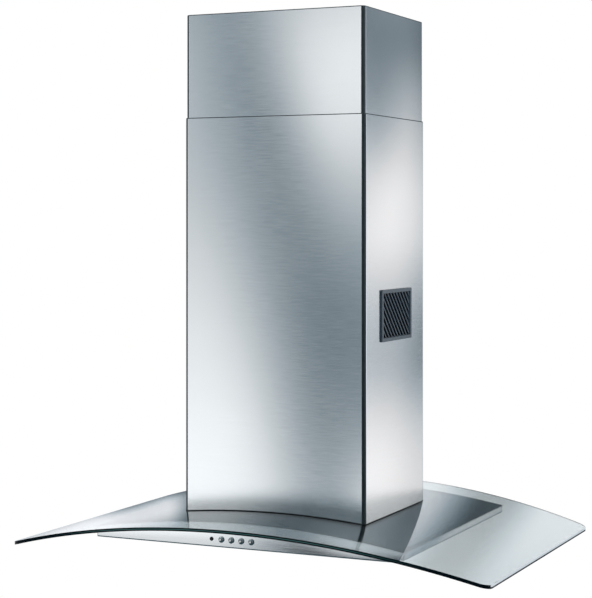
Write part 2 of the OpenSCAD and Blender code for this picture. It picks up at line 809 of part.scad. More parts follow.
// Push button: a domed cap, a stem and a collar that keeps it in its case
module push_button(i) {
    face_y = front_y - button_proud;
    color("gainsboro") at_crown() translate([first_button_x + i * button_pitch, face_y, button_z])
        rotate([-90, 0, 0]) {
            intersection() {
                cylinder(r = button_r, h = 20);
                translate([0, 0, dome_r]) union() {
                    sphere(r = dome_r, $fn = 96);
                    cylinder(r = button_r, h = 20 - dome_r);
                }
            }
            translate([0, 0, button_proud + body_sheet + case_wall + seat]) cylinder(r = button_r + 1.5, h = 2);
        }
}

module button_1() push_button(0);
module button_2() push_button(1);
module button_3() push_button(2);
module button_4() push_button(3);

// Casing over the air opening, open below, with the blower inside
module motor_box() {
    color("silver") at_crown() difference() {
        union() {
            span([-box_x, -box_y, ring_top], [box_x, box_y, box_top]);
            span([-box_x - box_flange, -box_y - box_flange, ring_top],
                [box_x + box_flange, box_y + box_flange, ring_top + box_wall]);
        }
        span([-box_x + box_wall, -box_y + box_wall, ring_top - 1],
            [box_x - box_wall, box_y - box_wall, box_top - box_wall]);
        translate([0, 0, box_top - box_wall - 1]) linear_extrude(box_wall + 2) intersection() {
            circle(outlet_r - outlet_wall - 1);
            translate([(mouth_left + mouth_right) / 2, 0])
                square([mouth_right - mouth_left - 2 * scroll_wall, 2 * scroll_half - 2 * scroll_wall],
                    center = true);
        }
    }
}

// Outline of the scroll, drawn around the wheel's axis: a spiral that widens evenly
// from the tongue round to the right, then the mouth up to the box's top
function scroll_points(inset) = concat(
    [for (a = [90 : 10 : 360])
        (scroll_min + scroll_grow * (a - 90) / 270 - inset) * [cos(a), sin(a)]],
    [[mouth_right - axle_x - inset, box_top - box_wall - axle_up],
        [mouth_left - axle_x + inset, box_top - box_wall - axle_up],
        [0, scroll_min + 6]]);

module scroll_half_shell() {
    difference() {
        linear_extrude(scroll_half) polygon(scroll_points(0));
        translate([0, 0, -1]) linear_extrude(scroll_half - scroll_wall + 1) polygon(scroll_points(scroll_wall));
        cylinder(r = inlet_r, h = scroll_half + 5);
    }
    // Ring that holds the charcoal filter, with three tabs over the filter's lugs
    translate([0, 0, scroll_half - 1]) linear_extrude(ring_high + 1) difference() {
        circle(ring_in_r + 1.8);
        circle(ring_in_r);
    }
    translate([0, 0, scroll_half + ring_high - 2]) linear_extrude(2) intersection() {
        difference() {
            circle(ring_in_r + 0.9);
            circle(charcoal_neck + 0.5);
        }
        for (a = [0 : 120 : 240]) rotate(a)
            polygon([[0, 0], ring_cut * [cos(14), -sin(14)], ring_cut * [cos(14), sin(14)]]);
    }
}

module scroll_rear() {
    color("#3a3d40") at_crown() translate([axle_x, 0, axle_up]) mirror([0, 1, 0]) rotate([90, 0, 0])
        scroll_half_shell();
}

module scroll_front() {
    color("#3a3d40") at_crown() translate([axle_x, 0, axle_up]) rotate([90, 0, 0]) scroll_half_shell();
}

// One forward-curved blade, drawn from the inner to the outer radius
module blade_outline() {
    sweep = 16;
    skin = 0.9;
    steps = 4;
    r0 = wheel_in_r;
    r1 = wheel_d / 2 - 0.5;
    function lean(k) = sweep * pow(k / steps, 1.8);
    function at(k, side) = (r0 + (r1 - r0) * k / steps)
        * [cos(lean(k) + side / r0 * 57.3), sin(lean(k) + side / r0 * 57.3)];
    polygon(concat([for (k = [0 : steps]) at(k, 0)], [for (k = [steps : -1 : 0]) at(k, skin)]));
}

// Double-inlet wheel: a middle disc, a hub, two rings of blades and two end rings
module fan_wheel() {
    half = wheel_len / 2;
    ring_h = 2;
    color("#2f3336") at_crown() translate([axle_x, 0, axle_up]) rotate([90, 0, 0]) {
        difference() {
            union() {
                cylinder(r = wheel_d / 2, h = wheel_disc_t, center = true);
                translate([0, 0, -9]) cylinder(r = 10, h = 15);
            }
            cylinder(r = shaft_r, h = 60, center = true);
            for (a = [0 : 60 : 300]) rotate(a) translate([30, 0, 0]) cylinder(r = 7, h = 10, center = true);
        }
        linear_extrude(wheel_len, center = true)
            for (i = [0 : blade_count - 1]) rotate(i * 360 / blade_count) blade_outline();
        for (s = [-1, 1]) translate([0, 0, s * (half - ring_h / 2)]) difference() {
            cylinder(r = wheel_d / 2, h = ring_h, center = true);
            cylinder(r = wheel_d / 2 - 3, h = ring_h + 1, center = true);
        }
    }
}

module motor_shaft() {
    color("gainsboro") at_crown() translate([axle_x, 12, axle_up]) rotate([90, 0, 0])
        cylinder(r = shaft_r, h = 46);
}

// Motor in the front half of the wheel, with a stepped can and cooling slots
module fan_motor() {
    color("#8d9194") at_crown() translate([axle_x, 0, axle_up]) rotate([90, 0, 0])
        difference() {
            translate([0, 0, 0]) rotate_extrude() polygon([
                [0, motor_face], [14, motor_face], [14, motor_face + 2], [motor_r - 4, motor_face + 4],
                [motor_r, motor_face + 8], [motor_r, motor_back - 8], [motor_r - 4, motor_back - 2],
                [20, motor_back - 2], [20, motor_back], [0, motor_back]]);
            cylinder(r = shaft_r + 0.05, h = 40);
            for (a = [0 : 30 : 330]) rotate(a) translate([motor_r - 10, -2, motor_face + 2])
                cube([6, 4, 8]);
        }
}

// Three-armed bracket across the front inlet
module motor_bracket() {
    color("silver") at_crown() translate([axle_x, 0, axle_up]) rotate([90, 0, 0])
        translate([0, 0, scroll_half]) linear_extrude(bracket_t) difference() {
            circle(inlet_r + 8);
            difference() {
                circle(inlet_r);
                circle(24);
                for (a = [30, 150, 270]) rotate(a) translate([20, -5]) square([inlet_r - 18, 10]);
            }
            circle(8);
        }
}

// Rubber bushes between the motor's back and its bracket
module motor_grommets() {
    color("#202224") at_crown() translate([axle_x, 0, axle_up]) rotate([90, 0, 0])
        for (a = [30, 150, 270]) rotate(a) translate([13, 0, motor_back])
            cylinder(r = grommet_r, h = scroll_half - motor_back);
}

// Round charcoal filter: a ribbed plastic cage with three bayonet lugs and a grip
module charcoal_filter() {
    ribs = 12;
    top = charcoal_t - 2;
    translate([0, 0, charcoal_z]) {
        rotate_extrude() polygon([
            [0, 0], [charcoal_neck, 0], [charcoal_neck, lug_h + 3], [charcoal_r + 2, lug_h + 3],
            [charcoal_r + 2, charcoal_t], [charcoal_r - 3, charcoal_t], [charcoal_r - 3, top], [0, top]]);
        intersection() {
            cylinder(r = charcoal_r, h = lug_h);
            for (a = [0 : 120 : 240]) rotate(a) translate([0, -13, 0]) cube([charcoal_r + 5, 26, lug_h]);
        }
        for (i = [0 : ribs - 1]) rotate(i * 360 / ribs) translate([10, -1, top - eps])
            cube([charcoal_r - 12, 2, 2]);
        translate([0, 0, top - eps]) cylinder(r = 14, h = 4);
        translate([-22, -3, top]) cube([44, 6, 8]);
    }
}

module charcoal_filter_front() {
    color("#222426") at_crown() translate([axle_x, 0, axle_up]) rotate([90, 0, 0]) charcoal_filter();
}

module charcoal_filter_rear() {
    color("#222426") at_crown() translate([axle_x, 0, axle_up]) mirror([0, 1, 0]) rotate([90, 0, 0])
        charcoal_filter();
}

// Round collar over the box's outlet, with a ledge that the flaps close on
module outlet_collar() {
    in_r = outlet_r - outlet_wall;
    color("#3a3d40") at_crown() translate([0, 0, box_top]) difference() {
        rotate_extrude($fn = 96) polygon([
            [in_r - 3, ledge_h], [in_r, ledge_h - 3], [in_r, 0], [outlet_r + 8, 0], [outlet_r + 8, 2],
            [outlet_r, 2], [outlet_r, collar_h], [in_r, collar_h], [in_r, ledge_h + 2],
            [in_r - 3, ledge_h + 2]]);
        translate([0, -outlet_r - 1, pin_z - box_top]) rod_y(pin_r + 0.02, 2 * outlet_r + 2);
    }
}

module flap_pin() {
    color("gainsboro") at_crown() translate([0, -outlet_r, pin_z]) rod_y(pin_r, 2 * outlet_r);
}

// Knuckles alternate along the pin: right, left, right, left
knuckle_long = 28;
knuckle_first = -60;
knuckle_step = 30;
knuckle_gap = 2;

// Half-round flap on the right of the pin, with knuckles at the places in list
module flap(knuckles) {
    edge = knuckle_r + 1;
    difference() {
        union() {
            translate([0, 0, flap_z]) linear_extrude(flap_t) intersection() {
                circle(flap_r, $fn = 96);
                translate([edge, -flap_r]) square([flap_r, 2 * flap_r]);
            }
            for (y = knuckles) {
                translate([0, y, pin_z]) rod_y(knuckle_r, knuckle_long);
                span([0, y, flap_z + 0.5], [edge + 1, y + knuckle_long, flap_z + 0.5 + flap_t]);
            }
        }
        translate([0, -flap_r, pin_z]) rod_y(pin_r + pin_play, 2 * flap_r);
    }
}

module flap_right() color("#3a3d40") at_crown() flap([knuckle_first, knuckle_first + 2 * knuckle_step + knuckle_gap]);
module flap_left() color("#3a3d40") at_crown() mirror([1, 0, 0]) flap([knuckle_first + knuckle_step, knuckle_first + 3 * knuckle_step + knuckle_gap]);

module duct_sleeve() {
    sleeve_wall = 1.5;
    overlap = 14;
    z0 = box_top + collar_h - overlap;
    color("#8d9194") at_crown() translate([0, 0, z0]) difference() {
        cylinder(r = outlet_r + sleeve_play + sleeve_wall, h = deflector_low - z0, $fn = 96);
        translate([0, 0, -1]) cylinder(r = outlet_r + sleeve_play, h = deflector_low - z0 + 2, $fn = 96);
    }
}

// Shape of the recirculation box: a round-topped middle with an arm to each grille
module deflector_shape(inset, reach) {
    span([-deflector_x - reach, -deflector_y + inset, deflector_low + inset],
        [deflector_x + reach, deflector_y - inset, deflector_high - inset]);
    span([-plenum + inset, -plenum + inset, deflector_low + inset],
        [plenum - inset, plenum - inset, deflector_high - inset]);
}

// Recirculation box that turns the air to both side grilles
module air_deflector() {
    w = deflector_wall;
    in_r = outlet_r - outlet_wall;
    ear_x = 60;
    ear_half = 10;
    ear_t = 2.5;
    wedge = 28;
    wedge_half = 70;
    neck_h = 9;
    color("#3a3d40") at_crown() {
        difference() {
            deflector_shape(0, 0);
            deflector_shape(w, 1);
            translate([0, 0, deflector_low - 1]) cylinder(r = in_r, h = w + 2, $fn = 96);
        }
        translate([0, deflector_y - w, 0]) rotate([90, 0, 0]) linear_extrude(2 * (deflector_y - w))
            polygon([[-wedge_half, deflector_high - w], [0, deflector_high - wedge],
                [wedge_half, deflector_high - w]]);
        both_ends_y() for (x = [-1, 1]) span([x * ear_x - ear_half, plenum - w, deflector_low],
            [x * ear_x + ear_half, inner_y - angle_t - 1, deflector_low + ear_t]);
        translate([0, 0, deflector_low - neck_h]) difference() {
            cylinder(r = outlet_r, h = neck_h + eps, $fn = 96);
            translate([0, 0, -1]) cylinder(r = in_r, h = neck_h + 3, $fn = 96);
        }
    }
}

module both_ends_y() {
    for (b = [0, 1]) mirror([0, b, 0]) children();
}

// Mains box on the back of the motor box
jb_x0 = -70;
jb_x1 = 10;
jb_z0 = 60;
jb_z1 = 150;
jb_d = 22;
jb_wall = 2;
gland_x = (jb_x0 + jb_x1) / 2;
gland_y = box_y + jb_d / 2;
// The ceiling plate's opening reaches past the cable's straight way up
plate_open_x = 90;
plate_open_y = gland_y + 9;

module junction_box() {
    color("#26292b") at_crown() difference() {
        span([jb_x0, box_y, jb_z0], [jb_x1, box_y + jb_d, jb_z1]);
        span([jb_x0 + jb_wall, box_y + jb_wall, jb_z0 + jb_wall],
            [jb_x1 - jb_wall, box_y + jb_d + 1, jb_z1 - jb_wall]);
        translate([gland_x, gland_y, jb_z1 - jb_wall - 1]) cylinder(r = 6.2, h = 5);
    }
}

module junction_lid() {
    color("#303336") at_crown() {
        span([jb_x0, box_y + jb_d, jb_z0], [jb_x1, box_y + jb_d + 2, jb_z1]);
        for (x = [jb_x0 + 8, jb_x1 - 8], z = [jb_z0 + 8, jb_z1 - 8])
            translate([x, box_y + jb_d + 2, z]) rod_y(3, 1);
    }
}

// Three poles in line, under the gland
module terminal_block() {
    pole = 13;
    long = 40;
    deep = 14;
    high = 18;
    low = jb_z0 + 20;
    back = box_y + jb_wall;
    color("whitesmoke") at_crown() difference() {
        span([gland_x - long / 2, back, low], [gland_x + long / 2, back + deep, low + high]);
        for (i = [-1 : 1]) translate([gland_x + i * pole, back + deep - 6, low + high / 2]) {
            rod_y(2.5, 10);
            translate([0, -1, -high / 2 - 3]) cylinder(r = 1.8, h = high + 6);
        }
    }
}

// Cable gland through the box's top
gland_bore_r = 4;

module cable_gland() {
    color("#303336") at_crown() translate([gland_x, gland_y, jb_z1]) difference() {
        union() {
            translate([0, 0, -6]) cylinder(r = 6, h = 8);
            cylinder(r = 9.5, h = 5, $fn = 6);
            translate([0, 0, 4]) rotate_extrude() polygon([[0, 0], [8.4, 0], [8.4, 8], [6.5, 11], [0, 11]]);
        }
        translate([0, 0, -7]) cylinder(r = gland_bore_r, h = 24);
    }
}

// Run capacitor lying across the front of the motor box
cap_r = 14;
cap_len = 56;
cap_z = 95;

module capacitor() {
    color("gainsboro") at_crown() translate([-cap_len / 2, -box_y - cap_r - 1.5, cap_z]) {
        rod_x(cap_r, cap_len);
        rod_x(3, cap_len + 6);
    }
}

module capacitor_clip() {
    w = 18;
    color("silver") at_crown() translate([-w / 2, -box_y - cap_r - 1.5, cap_z]) {
        difference() {
            rod_x(cap_r + 1.2, w);
            translate([-1, 0, 0]) rod_x(cap_r + 0.05, w + 2);
            translate([-1, -cap_r - 5, -5]) cube([w + 2, cap_r, 10]);
        }
        difference() {
            translate([0, cap_r + 0.3, -cap_r - 8]) cube([w, 1.2, 2 * cap_r + 16]);
            for (z = [-1, 1]) translate([w / 2, cap_r, z * (cap_r + 4)]) rod_y(2, 3);
        }
    }
}

// Transformer for the lamps, on two feet
module lamp_transformer() {
    long = 64;
    deep = 24;
    high = 42;
    foot = 8;
    foot_h = 18;
    foot_t = 2.5;
    x0 = jb_x1 + 30;
    z0 = jb_z0 + 2;
    fins = 6;
    fin_pitch = 9;
    fin_w = 3;
    fin_deep = 3;
    color("#303336") at_crown() difference() {
        union() {
            span([x0, box_y, z0], [x0 + long, box_y + deep, z0 + high]);
            span([x0 - foot, box_y, z0], [x0 + long + foot, box_y + foot_t, z0 + foot_h]);
        }
        for (x = [x0 - foot / 2, x0 + long + foot / 2]) translate([x, box_y - 1, z0 + foot_h / 2])
            rod_y(2, foot_t + 2.5);
        for (i = [0 : fins - 1]) span([x0 + foot + i * fin_pitch, box_y + deep - fin_deep, z0 + 8],
            [x0 + foot + i * fin_pitch + fin_w, box_y + deep + 1, z0 + high - 8]);
    }
}

ceiling_plate();
upper_frame();
upper_chimney();
chimney_screws();
lower_frame();
frame_screws();
lower_chimney();
chimney_seal();
grille_left();
grille_right();
glass_canopy();
ring_seal();
glass_bolts();
hood_body();
body_seal();
underside_panel();
filter_frame_left();
filter_mesh_left();
filter_handle_left();
filter_springs_left();
filter_frame_right();
filter_mesh_right();
filter_handle_right();
filter_springs_right();
lamp_bezels();
lamp_lenses();
lamp_cups();
lamp_bulbs();
switch_case();
control_board();
indicator_lens();
button_1();
button_2();
button_3();
button_4();
motor_box();
scroll_front();
scroll_rear();
fan_wheel();
motor_shaft();
fan_motor();
motor_bracket();
motor_grommets();
charcoal_filter_front();
charcoal_filter_rear();
outlet_collar();
flap_pin();
flap_left();
flap_right();
duct_sleeve();
air_deflector();
junction_box();
junction_lid();
terminal_block();
cable_gland();
capacitor();
capacitor_clip();
lamp_transformer();
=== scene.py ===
"""Looks of a ceiling-hung range hood: brushed steel chimney, arched glass canopy, studio light.

Metres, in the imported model's frame: origin at the ceiling plate, +Z up, -Y the side with the
push buttons. Heights inside the hood are counted from the crown, the glass's highest line.
"""

import json
import logging
import math
from dataclasses import dataclass
from enum import Enum
from typing import Any, Sequence

import bmesh
import bpy
import numpy as np
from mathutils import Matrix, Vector


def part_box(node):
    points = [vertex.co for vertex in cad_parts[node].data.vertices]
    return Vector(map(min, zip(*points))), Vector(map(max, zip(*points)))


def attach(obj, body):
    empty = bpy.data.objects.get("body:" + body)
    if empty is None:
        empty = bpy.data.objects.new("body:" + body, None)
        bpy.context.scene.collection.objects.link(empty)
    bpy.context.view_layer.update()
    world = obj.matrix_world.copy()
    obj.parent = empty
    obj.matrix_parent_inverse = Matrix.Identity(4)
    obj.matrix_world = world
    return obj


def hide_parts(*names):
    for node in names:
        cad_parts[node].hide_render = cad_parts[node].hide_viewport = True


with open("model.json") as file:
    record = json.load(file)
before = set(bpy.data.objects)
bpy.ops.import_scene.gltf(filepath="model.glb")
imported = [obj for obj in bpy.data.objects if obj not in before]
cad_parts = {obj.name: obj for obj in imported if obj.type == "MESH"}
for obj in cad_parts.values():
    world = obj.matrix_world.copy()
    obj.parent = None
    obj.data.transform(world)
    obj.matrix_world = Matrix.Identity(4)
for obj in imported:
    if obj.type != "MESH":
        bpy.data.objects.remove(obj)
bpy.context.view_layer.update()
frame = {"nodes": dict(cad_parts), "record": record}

log = logging.getLogger("range_hood")
Array = np.ndarray
CLOSE = 1e-5  # metres within which two places count as one
WELD = 1e-6  # metres within which vertices are merged


class Body(Enum):
    """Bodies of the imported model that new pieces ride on."""

    CHIMNEY = "upper_chimney_body"
    HOOD = "hood"
    LEFT_FILTER = "filter_left"
    RIGHT_FILTER = "filter_right"


class Wall(Enum):
    """Which way a studio card stands: the axis it is square to."""

    ALONG = 0
    ACROSS = 1
    LEVEL = 2


# ---------------------------------------------------------------- the hood's sizes


@dataclass(frozen=True)
class Sizes:
    """Main sizes of the solids in metres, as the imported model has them.

    crown is the height of the glass's highest line and arc its radius; lower and upper are the
    chimney tubes' width and depth, air the opening through glass and roof, window the grilles'
    cut-outs. rim and window_middle are counted from the crown.
    """

    crown: float = -0.887
    arc: float = 1.667
    glass_t: float = 0.006
    foot_seal: float = 0.0015
    seal_t: float = 0.001
    lower: tuple[float, float] = (0.352, 0.290)
    upper: tuple[float, float] = (0.3488, 0.2868)
    sheet: float = 0.001
    fold: float = 0.007
    seam: float = -0.186
    upper_low: float = -0.306
    air: tuple[float, float] = (0.270, 0.208)
    window: tuple[float, float] = (0.134, 0.082)
    window_middle: float = 0.347
    body: tuple[float, float] = (0.584, 0.518)
    body_sheet: float = 0.0012
    rim: float = -0.0455
    rim_fold: float = 0.012

    def arch(self, x: Array, below: float = 0.0) -> Array:
        """Height at x of the barrel that lies a given distance under the glass's top surface."""
        return np.sqrt((self.arc - below) ** 2 - x**2) - self.arc + self.crown


SIZES = Sizes()


# ---------------------------------------------------------------- shader helper


class Shader:
    """A material's or the world's node tree, built by calls that return output sockets."""

    def __init__(self, name: str, world: bool = False) -> None:
        """Starts a material, or a world, with an empty tree and an output node."""
        self.made = (bpy.data.worlds if world else bpy.data.materials).new(name)
        self.made.use_nodes = True
        self.tree = self.made.node_tree
        self.tree.nodes.clear()
        self.out = self.tree.nodes.new("ShaderNodeOutput" + ("World" if world else "Material"))

    def add(self, kind: str, settings: dict[str, Any] | None = None, **inputs: Any) -> Any:
        """Adds one node and fills its inputs.

        Args:
            kind: node type without the ShaderNode prefix.
            settings: node properties, such as an operation.
            inputs: socket values or links, with spaces in names written as underscores;
                a name of the form i0, i1 picks the socket by its number.

        Returns:
            The new node.
        """
        node = self.tree.nodes.new("ShaderNode" + kind)
        for key, value in (settings or {}).items():
            setattr(node, key, value)
        for key, value in inputs.items():
            by_number = key[0] == "i" and key[1:].isdigit()
            socket = node.inputs[int(key[1:])] if by_number else node.inputs[key.replace("_", " ")]
            if isinstance(value, bpy.types.NodeSocket):
                self.tree.links.new(value, socket)
            else:
                socket.default_value = value
        return node

    def math(self, operation: str, a: Any, b: Any = 0.0, c: Any = 0.0) -> Any:
        """Result socket of one Math node."""
        return self.add("Math", {"operation": operation}, i0=a, i1=b, i2=c).outputs[0]

    def place(self, scale: Sequence[float] = (1, 1, 1), turn: Sequence[float] = (0, 0, 0)) -> Any:
        """Object coordinates, turned and then stretched per axis."""
        where = self.add("TexCoord").outputs["Object"]
        turned = self.add("Mapping", {"vector_type": "POINT"}, Vector=where, Rotation=turn)
        return self.add("Mapping", Vector=turned.outputs[0], Scale=scale).outputs[0]

    def noise(self, where: Any, scale: float, detail: float = 2.0, rough: float = 0.5) -> Any:
        """Smooth noise from 0 to 1."""
        node = self.add("TexNoise", Vector=where, Scale=scale, Detail=detail, Roughness=rough)
        return node.outputs["Fac"]

    def between(self, fac: Any, low: float, high: float, start: float = 0.0, end: float = 1.0,
                curve: str = "LINEAR") -> Any:
        """Maps fac from start..end to low..high."""
        return self.add("MapRange", {"interpolation_type": curve}, Value=fac, From_Min=start,
                        From_Max=end, To_Min=low, To_Max=high).outputs[0]

    def spread(self, noise: Any, low: float, high: float) -> Any:
        """Maps the part of a noise that it mostly stays in to low..high."""
        return self.between(noise, low, high, 0.3, 0.7)

    def soft_step(self, value: Any, full: float, gone: float) -> Any:
        """1 where value is up to full, 0 past gone, an S-curve between."""
        return self.between(value, 1.0, 0.0, full, gone, "SMOOTHSTEP")

    def blend(self, fac: Any, a: Any, b: Any) -> Any:
        """Mixes two colours, plain ones or sockets, by fac."""
        return self.add("Mix", {"data_type": "RGBA"}, i0=fac, i6=opaque(a), i7=opaque(b)).outputs[2]

    def tones(self, fac: Any, colour: Sequence[float], low: float, high: float) -> Any:
        """A colour that varies with fac from low to high times its own brightness."""
        return self.blend(fac, tinted(colour, low), tinted(colour, high))

    def bump(self, height: Any, strength: float, distance: float) -> Any:
        """Normal socket bent by a height."""
        return self.add("Bump", Height=height, Strength=strength, Distance=distance).outputs[0]

    def seen(self) -> Any:
        """1 for rays from the camera, a mirror or glass, 0 for light on plain surfaces."""
        path = self.add("LightPath")
        camera, through, mirror = (path.outputs[f"Is {kind} Ray"]
                                   for kind in ("Camera", "Transmission", "Glossy"))
        return self.math("MAXIMUM", self.math("MAXIMUM", camera, through), mirror)

    def principled(self, colour: Any, rough: Any, normal: Any, clear: float = 0.0,
                   **more: Any) -> bpy.types.Material:
        """Finishes a material with one Principled shader.

        Args:
            colour: base colour, a plain one or a socket.
            rough: roughness, as a socket.
            normal: socket of the bent normal.
            clear: share of the light that passes.
            more: further inputs, named as for add.

        Returns:
            The material.
        """
        shade = self.add("BsdfPrincipled", Base_Color=opaque(colour), Roughness=rough,
                         Normal=normal, Transmission_Weight=clear, **more)
        return self.finish(shade.outputs[0])

    def finish(self, surface: Any, volume: Any = None) -> bpy.types.Material | bpy.types.World:
        """Links the surface, and a volume if there is one, and returns the material or world."""
        self.tree.links.new(surface, self.out.inputs["Surface"])
        if volume is not None:
            self.tree.links.new(volume, self.out.inputs["Volume"])
        return self.made


def opaque(colour: Any) -> Any:
    """A plain colour with its fourth number, or a socket as it is."""
    return colour if isinstance(colour, bpy.types.NodeSocket) else (*colour[:3], 1)


def tinted(colour: Sequence[float], factor: float) -> tuple[float, float, float]:
    """A colour made lighter or darker by a factor."""
    return tuple(min(1.0, c * factor) for c in colour[:3])


# ---------------------------------------------------------------- finishes


@dataclass(frozen=True)
class BrushedSteel:
    """Stainless sheet with fine straight brush lines."""

    name: str = "brushed_steel"
    colour: tuple[float, float, float] = (0.675, 0.72, 0.75)
    roughness: float = 0.16
    stretch: float = 0.4
    depth: float = 0.02

    def build(self) -> bpy.types.Material:
        """Stretches noise along the brush direction for colour, gloss and a shallow bump.

        Returns:
            The material; its highlights are drawn out across the brush lines by the stretch.
        """
        s = Shader(self.name)
        lines = s.noise(s.place((28, 28, 620)), 1.0, 3, 0.7)
        bands = s.noise(s.place((9, 9, 210)), 1.0, 2, 0.5)
        cloud = s.noise(s.place(), 5.0, 3, 0.55)
        both = s.math("MULTIPLY_ADD", bands, 0.15, s.math("MULTIPLY", lines, 0.85))
        colour = s.tones(s.spread(both, 0, 1), self.colour, 0.965, 1.03)
        rough = s.math("ADD", s.spread(lines, -0.02, 0.03),
                       s.spread(cloud, self.roughness - 0.01, self.roughness + 0.015))
        return s.principled(colour, rough, s.bump(both, self.depth, 0.0002), Metallic=1.0,
                            Anisotropic=self.stretch, Anisotropic_Rotation=0.25)


@dataclass(frozen=True)
class PaintedDarkEdge:
    """Rim and fold of the stainless sheet: duller, like sheared and bent steel, and painted
    near-black as the dark reflection and shade seen along them.
    """

    name: str = "painted_dark_edge"
    # near-black: painted dark reflection and shade of the rim and folds, not the steel's own tone
    colour: tuple[float, float, float] = (0.085, 0.105, 0.115)

    def build(self) -> bpy.types.Material:
        """Upright marks vary the tone, with a rough gloss."""
        s = Shader(self.name)
        marks = s.noise(s.place((900, 900, 60)), 1.0, 2)
        colour = s.tones(s.spread(marks, 0, 1), self.colour, 0.8, 1.25)
        return s.principled(colour, s.between(marks, 0.42, 0.55), s.bump(marks, 0.15, 0.0001),
                            Metallic=1.0)


@dataclass(frozen=True)
class GalvanisedSteel:
    """Zinc-coated sheet with faint spangles."""

    name: str = "galvanised_steel"
    colour: tuple[float, float, float] = (0.58, 0.60, 0.62)

    def build(self) -> bpy.types.Material:
        """Voronoi cells vary colour and gloss, fine noise adds a bloom."""
        s = Shader(self.name)
        where = s.place()
        cells = s.add("TexVoronoi", Vector=where, Scale=90.0).outputs["Color"]
        spangle = s.add("SeparateColor", Color=cells).outputs[0]
        bloom = s.noise(where, 25.0, 4)
        mean = s.math("MULTIPLY_ADD", spangle, 0.5, s.math("MULTIPLY", bloom, 0.5))
        return s.principled(s.tones(mean, self.colour, 0.85, 1.12), s.between(spangle, 0.34, 0.46),
                            s.bump(bloom, 0.08, 0.0003), Metallic=1.0)


@dataclass(frozen=True)
class CanopyGlass:
    """Clear float glass, faintly grey-green through its faces."""

    name: str = "canopy_glass"
    tint: tuple[float, float, float] = (0.72, 0.77, 0.79)
    absorption: tuple[float, float, float] = (0.62, 0.93, 0.90)
    density: float = 9.0

    def build(self) -> bpy.types.Material:
        """Glass with absorption inside; shadow rays pass, so that light reaches what is below."""
        s = Shader(self.name)
        smear = s.noise(s.place(), 7.0, 3, 0.6)
        glass = s.add("BsdfPrincipled", Base_Color=opaque(self.tint), IOR=1.5,
                      Roughness=s.between(smear, 0.0, 0.012, 0.45, 0.8), Transmission_Weight=1.0)
        clear = s.add("BsdfTransparent", Color=(0.90, 0.95, 0.95, 1))
        shadow = s.add("LightPath").outputs["Is Shadow Ray"]
        mixed = s.add("MixShader", i0=shadow, i1=glass.outputs[0], i2=clear.outputs[0])
        inside = s.add("VolumeAbsorption", Color=opaque(self.absorption), Density=self.density)
        return s.finish(mixed.outputs[0], inside.outputs[0])


@dataclass(frozen=True)
class GlassEdge:
    """Polished edge of the glass, drawn opaque: painted dark reflection at both arrises, the
    glass's own green in the core between them, painted daylight at the side ends.
    """

    name: str = "glass_edge"
    # painted dark reflection at the arrises
    dark: tuple[float, float, float] = (0.0008, 0.004, 0.006)
    core: tuple[float, float, float] = (0.032, 0.092, 0.088)
    # painted daylight of the side ends' upper part
    side: tuple[float, float, float] = (0.78, 0.83, 0.86)

    def build(self) -> bpy.types.Material:
        """Colours the edge by its depth within the glass.

        That depth is how far a point lies under the barrel of the glass's top face, divided by
        the glass's thickness: the root of arc squared less x squared, less the point's height
        over the barrel's axis. The straight side ends, where x is near half the width, take a
        painted daylight in their upper part, as though light came through them.

        Returns:
            The material.
        """
        s = Shader(self.name)
        where = s.add("SeparateXYZ", Vector=s.place())
        x2 = s.math("MULTIPLY", where.outputs[0], where.outputs[0])
        barrel = s.math("SQRT", s.math("SUBTRACT", SIZES.arc**2, x2))
        under = s.math("SUBTRACT", barrel, s.math("ADD", where.outputs[2], SIZES.arc - SIZES.crown))
        depth = s.math("DIVIDE", under, SIZES.glass_t)
        middle = s.math("ABSOLUTE", s.math("SUBTRACT", depth, 0.5))
        streak = s.noise(s.place((40, 40, 900)), 1.0, 2)
        aside = s.math("ABSOLUTE", where.outputs[0])
        core = s.math("MULTIPLY", s.soft_step(middle, 0.03, 0.17), s.spread(streak, 0.8, 1.0))
        core = s.math("MULTIPLY", core, s.soft_step(aside, 0.20, 0.36))
        ends = s.between(aside, 0.0, 1.0, 0.4475, 0.4485)
        # painted daylight on the upper part of the side ends
        light = s.math("MULTIPLY", s.soft_step(depth, 0.50, 0.62), ends)
        # painted dark reflection at the arrises, the glass's own green in the core
        front = s.blend(core, self.dark, self.core)
        return s.principled(s.blend(light, front, self.side), s.spread(streak, 0.08, 0.16),
                            s.bump(streak, 0.04, 0.0002), IOR=1.5, Specular_IOR_Level=0.06)


@dataclass(frozen=True)
class Moulded:
    """Plastic or rubber with a fine moulded texture."""

    name: str
    colour: tuple[float, float, float]
    roughness: float = 0.45
    texture: float = 1400.0
    depth: float = 0.06
    shine: float = 0.5

    def build(self) -> bpy.types.Material:
        """Fine pebbled bump, slow colour drift and a few duller patches."""
        s = Shader(self.name)
        where = s.place()
        pebbles = s.noise(where, self.texture, 2, 0.6)
        drift = s.noise(where, 14.0, 3)
        colour = s.tones(s.spread(drift, 0, 1), self.colour, 0.86, 1.16)
        rough = s.spread(drift, self.roughness - 0.05, self.roughness + 0.07)
        return s.principled(colour, rough, s.bump(pebbles, self.depth, 0.0002),
                            Specular_IOR_Level=self.shine)


@dataclass(frozen=True)
class Translucent:
    """See-through matter with an uneven skin, such as clear sealant or satin lamp glass.

    clear is the share of light that passes, gloss the range of its roughness.
    """

    name: str
    colour: tuple[float, float, float]
    grain: float
    gloss: tuple[float, float]
    relief: float
    clear: float
    bending: float

    def build(self) -> bpy.types.Material:
        """One noise sets both the gloss and the relief of the skin."""
        s = Shader(self.name)
        skin = s.noise(s.place(), self.grain, 2)
        return s.principled(self.colour, s.spread(skin, *self.gloss),
                            s.bump(skin, self.relief, 0.0002), self.clear, IOR=self.bending)


